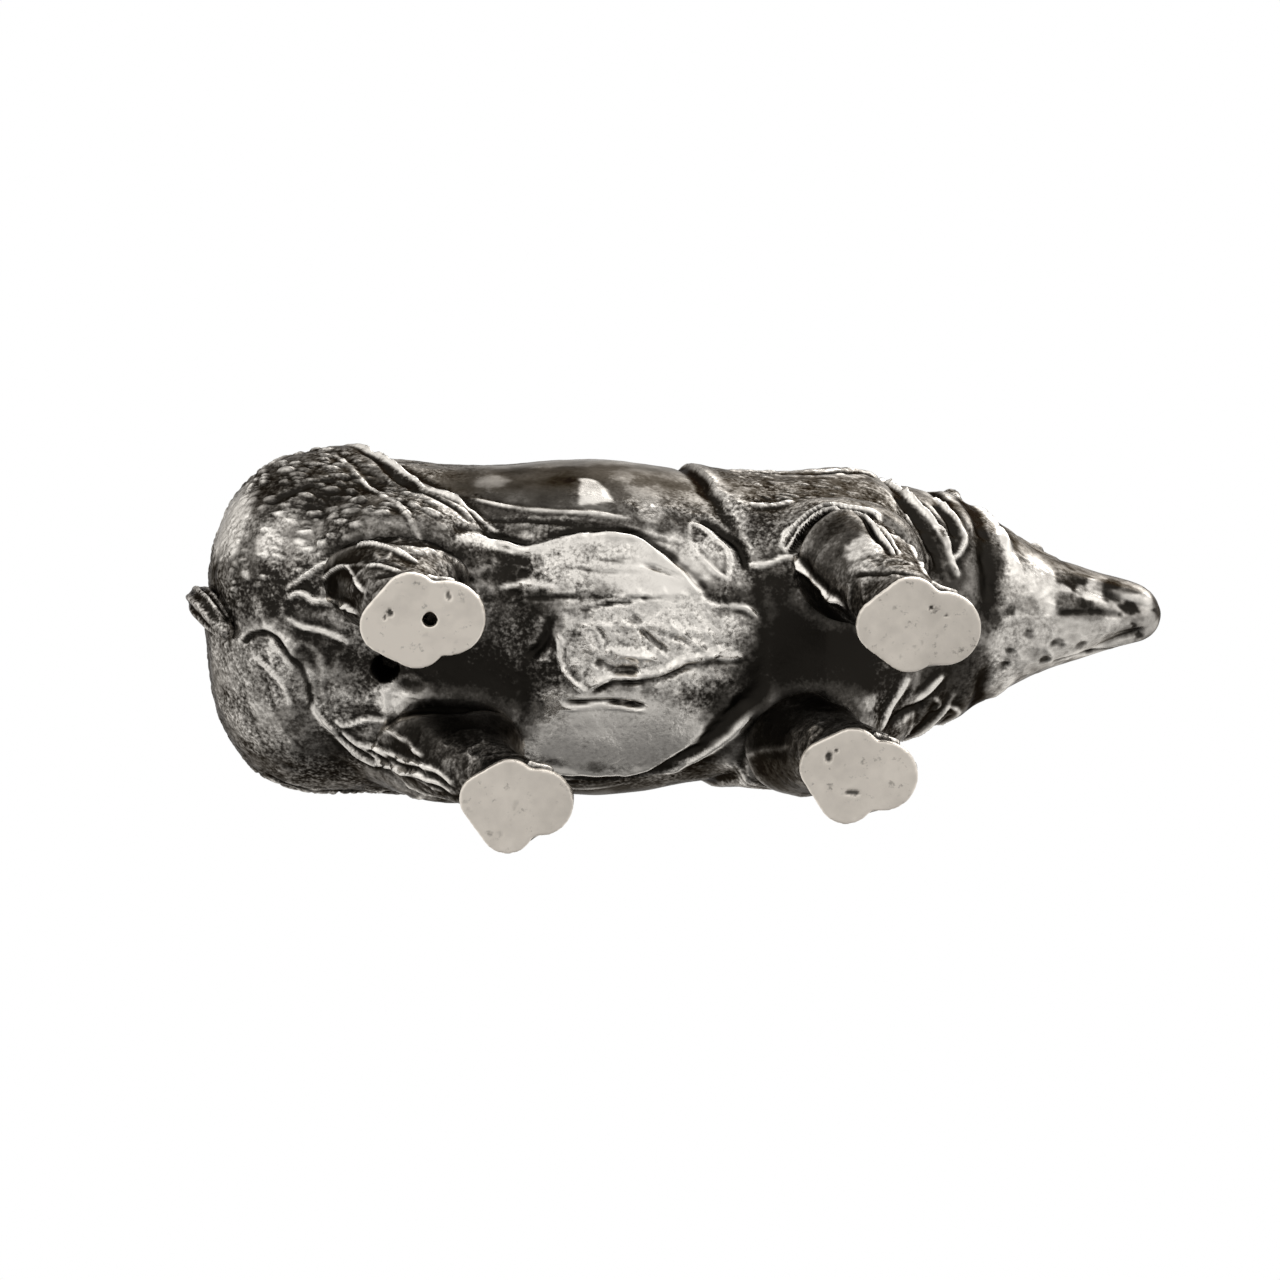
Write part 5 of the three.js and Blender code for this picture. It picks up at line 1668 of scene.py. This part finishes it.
class RHINO_OT_horn(bpy.types.Operator):
    """Skins the horn, with its long striations"""
    bl_idname = "rhino.horn"
    bl_label = "Horn"

    def execute(self, context):
        skin = wrap(casting("horn"), HORN_AXIS, UP, AHEAD, SMALL_STEP, HORN_COLUMNS, HORN_RAY,
                    closed=(False, True), soften=HORN_SOFTEN)
        tall = skin.at[..., 2:]
        angles = np.arange(HORN_COLUMNS) / HORN_COLUMNS * 2.0 * math.pi
        ring = np.stack([np.cos(angles), np.sin(angles)], axis=-1) * HORN_STRAND_TURN
        ring = np.broadcast_to(ring, skin.at.shape[:2] + (2,))
        strands = noise(np.concatenate([ring, tall * HORN_STRAND_DRAW], axis=-1), HORN_STRANDS)
        skin.lift += fall(*HORN_FADE, tall[..., 0]) * strands + noise(skin.at, HORN_ROUGHNESS)
        skin.lift -= HORN_TIP_THIN * ease(*HORN_TIP, tall[..., 0])
        burnish_and_paint_light(skin, HORN_SHINE)
        skin_piece(skin, "horn_skin", "horn")
        return {"FINISHED"}


class RHINO_OT_ears(bpy.types.Operator):
    """Gives the two ears their worn rims and ribbed hollows"""
    bl_idname = "rhino.ears"
    bl_label = "Ears"

    def execute(self, context):
        root_shine, rim_shine, raised_shine = EAR_SHINE
        for name in EAR_NODES:
            piece = remeshed(name, name + "_skin", EAR_CELL, EAR_PASSES)
            points, normals = mesh_points(piece)
            lift = noise(points * np.array(EAR_RIB_DRAW), EAR_RIBS) + noise(points, EAR_LUMPS)
            points += normals * lift[:, None]
            low, high = points[:, 2].min(), points[:, 2].max()
            shine = root_shine + rim_shine * (points[:, 2] - low) / (high - low) + raised_shine * lift
            store(piece, points, shine)
            in_hide_silver(piece, name)
        return {"FINISHED"}


class RHINO_OT_tail(bpy.types.Operator):
    """Skins the tail, with its rings and the strands of its tuft"""
    bl_idname = "rhino.tail"
    bl_label = "Tail"

    def execute(self, context):
        skin = wrap(casting("tail"), TAIL_AXIS, UP, BACK, SMALL_STEP, TAIL_COLUMNS, TAIL_RAY,
                    soften=TAIL_SOFTEN)
        angles = np.arange(TAIL_COLUMNS) / TAIL_COLUMNS * 2.0 * math.pi
        tall = skin.at[..., 2]
        tuft = fall(*TUFT_TOP, tall)
        strands = np.sin(angles * TUFT_STRANDS + TUFT_TWIST * tall) * ease(*TUFT_TIP, tall)
        wave, waves = RING_WAVE
        rings = np.sin(tall * RING_PITCH + wave * np.sin(angles * waves))
        skin.lift += TUFT_HEIGHT * tuft * strands
        skin.lift += RING_HEIGHT * (1.0 - tuft) * rings
        skin.lift += noise(skin.at, TAIL_ROUGHNESS)
        burnish_and_paint_light(skin, TAIL_SHINE)
        skin_piece(skin, "tail_skin", "tail")
        return {"FINISHED"}


class RHINO_OT_stage(bpy.types.Operator):
    """Sets the floor, the light and the camera"""
    bl_idname = "rhino.stage"
    bl_label = "Studio"

    def execute(self, context):
        studio = context.scene.rhino_studio
        self.floor(context.scene, studio)
        self.sky(context.scene, studio)
        self.softbox(context.scene, studio)
        self.camera(context.scene, studio)
        context.scene.view_settings.view_transform = "Standard"
        return {"FINISHED"}

    def floor(self, scene, studio):
        """A pale floor that is clear from below, where the camera stands."""
        half = studio.floor_width / 2
        corners = [(-half, -half, 0), (half, -half, 0), (half, half, 0), (-half, half, 0)]
        mesh = bpy.data.meshes.new("floor")
        mesh.from_pydata(corners, [], [(0, 1, 2, 3)])
        floor = bpy.data.objects.new("floor", mesh)
        scene.collection.objects.link(floor)
        material = bpy.data.materials.new("pale_floor")
        material.use_nodes = True
        tree = material.node_tree
        tree.nodes.clear()
        out = tree.nodes.new("ShaderNodeOutputMaterial")
        matt = tree.nodes.new("ShaderNodeBsdfDiffuse")
        set_inputs(matt, Color=(*studio.floor_colour, 1.0))
        clear = tree.nodes.new("ShaderNodeBsdfTransparent")
        side = tree.nodes.new("ShaderNodeNewGeometry")
        mix = tree.nodes.new("ShaderNodeMixShader")
        wire(tree, side.outputs["Backfacing"], mix.inputs["Fac"])
        wire(tree, matt.outputs["BSDF"], mix.inputs[1])
        wire(tree, clear.outputs["BSDF"], mix.inputs[2])
        wire(tree, mix.outputs["Shader"], out.inputs["Surface"])
        mesh.materials.append(material)
        floor.visible_glossy = False
        floor.visible_shadow = False

    def sky(self, scene, studio):
        """A white sky, in which metal sees a dim ground with glows and cards."""
        world = bpy.data.worlds.new("studio_sky")
        scene.world = world
        world.use_nodes = True
        tree = world.node_tree
        tree.nodes.clear()
        out = tree.nodes.new("ShaderNodeOutputWorld")
        back = tree.nodes.new("ShaderNodeBackground")
        path = tree.nodes.new("ShaderNodeLightPath")
        where = tree.nodes.new("ShaderNodeTexCoord")
        split = tree.nodes.new("ShaderNodeSeparateXYZ")
        wire(tree, where.outputs["Generated"], split.inputs["Vector"])
        across, up = split.outputs["Y"], split.outputs["Z"]
        aside = math_node(tree, "ABSOLUTE", split.outputs["X"], 0.0)
        below = studio.ground_level * GROUND_BASE
        # Glows of the ground: direction, where each starts and where it is full, and how strong it is.
        for source, start, stop, height in (
                (across, 0.1, -0.75, studio.side_glow),
                (across, 0.9, 0.2, studio.ground_level * GROUND_LEFT),
                (up, -0.8, -1.0, studio.under_glow),
                (across, 1.0, 0.7, studio.left_glow),
                (across, 0.55, 0.15, -studio.left_glow),
                (aside, 0.18, 0.5, studio.card_glow)):
            below = math_node(tree, "ADD", self.step(tree, source, start, stop, height), below)
        level = tree.nodes.new("ShaderNodeMix")
        wire(tree, self.step(tree, up, *SKY_RISE, 1.0), level.inputs["Factor"])
        wire(tree, below, level.inputs["A"])
        set_inputs(level, B=studio.sky_level)
        glossy, clear = path.outputs["Is Glossy Ray"], path.outputs["Is Transmission Ray"]
        seen = math_node(tree, "ADD", glossy, clear, True)
        soft = tree.nodes.new("ShaderNodeMix")
        set_inputs(soft, A=SKY_SOFT_LEVEL)
        wire(tree, seen, soft.inputs["Factor"])
        wire(tree, level.outputs["Result"], soft.inputs["B"])
        strength = tree.nodes.new("ShaderNodeMix")
        wire(tree, path.outputs["Is Camera Ray"], strength.inputs["Factor"])
        wire(tree, soft.outputs["Result"], strength.inputs["A"])
        set_inputs(strength, B=1.0)
        wire(tree, strength.outputs["Result"], back.inputs["Strength"])
        wire(tree, back.outputs["Background"], out.inputs["Surface"])
        set_inputs(back, Color=(1.0, 1.0, 1.0, 1.0))

    def step(self, tree, source, start, stop, height):
        """A soft step of that height as the source goes from start to stop."""
        node = tree.nodes.new("ShaderNodeMapRange")
        node.interpolation_type = "SMOOTHSTEP"
        set_inputs(node, From_Min=start, From_Max=stop, To_Max=height)
        wire(tree, source, node.inputs["Value"])
        return node.outputs["Result"]

    def softbox(self, scene, studio):
        """A wide lamp above, ahead and to the animal's right."""
        lamp = bpy.data.lights.new("softbox", "AREA")
        lamp.shape = "RECTANGLE"
        lamp.size, lamp.size_y = SOFTBOX_SIZE
        lamp.energy = studio.lamp_power
        holder = bpy.data.objects.new("softbox", lamp)
        holder.location = SOFTBOX_PLACE
        aim = Vector(SOFTBOX_AIM) - holder.location
        holder.rotation_euler = aim.to_track_quat("-Z", "Y").to_euler()
        scene.collection.objects.link(holder)

    def camera(self, scene, studio):
        """A camera under the figurine, tilted towards its right side."""
        lens = bpy.data.cameras.new("camera")
        lens.lens = studio.camera_lens
        lens.sensor_width = SENSOR_WIDTH
        camera = bpy.data.objects.new("camera", lens)
        tilt = studio.camera_tilt
        ahead = Vector((0.0, math.sin(tilt), math.cos(tilt)))
        up = Vector((0.0, -math.cos(tilt), math.sin(tilt)))
        right = Vector((1.0, 0.0, 0.0))
        spot = Vector(CAMERA_AIM) - ahead * studio.camera_distance
        turn = Matrix((right, up, -ahead)).transposed().to_4x4()
        camera.matrix_world = Matrix.Translation(spot) @ turn
        scene.collection.objects.link(camera)
        scene.camera = camera


class RHINO_PT_panel(bpy.types.Panel):
    """Buttons and values of the figurine"""
    bl_idname = "RHINO_PT_panel"
    bl_label = "Rhinoceros"
    bl_space_type = "VIEW_3D"
    bl_region_type = "UI"
    bl_category = "Rhinoceros"

    def draw(self, context):
        column = self.layout.column()
        for settings in (context.scene.rhino_hide, context.scene.rhino_silver, context.scene.rhino_studio):
            for key in settings.bl_rna.properties.keys():
                if key not in {"rna_type", "name"}:
                    column.prop(settings, key)
        for operator in OPERATORS:
            column.operator(operator.bl_idname)


GROUPS = (RhinoHideSizes, RhinoSilverFinish, RhinoStudioSet)
OPERATORS = (
    RHINO_OT_hide, RHINO_OT_legs, RHINO_OT_soles, RHINO_OT_horn, RHINO_OT_ears, RHINO_OT_tail,
    RHINO_OT_stage,
)


def register():
    """Registers the values, the operators and the panel."""
    for each in GROUPS + OPERATORS + (RHINO_PT_panel,):
        bpy.utils.register_class(each)
    bpy.types.Scene.rhino_hide = PointerProperty(type=RhinoHideSizes)
    bpy.types.Scene.rhino_silver = PointerProperty(type=RhinoSilverFinish)
    bpy.types.Scene.rhino_studio = PointerProperty(type=RhinoStudioSet)


def unregister():
    """Takes the values, the operators and the panel away again."""
    del bpy.types.Scene.rhino_studio
    del bpy.types.Scene.rhino_silver
    del bpy.types.Scene.rhino_hide
    for each in reversed(GROUPS + OPERATORS + (RHINO_PT_panel,)):
        bpy.utils.unregister_class(each)


def main():
    """Registers the add-on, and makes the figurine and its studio."""
    register()
    bpy.ops.rhino.stage()
    bpy.ops.rhino.hide()
    bpy.ops.rhino.legs()
    bpy.ops.rhino.soles()
    bpy.ops.rhino.horn()
    bpy.ops.rhino.ears()
    bpy.ops.rhino.tail()


if __name__ == "__main__":
    main()
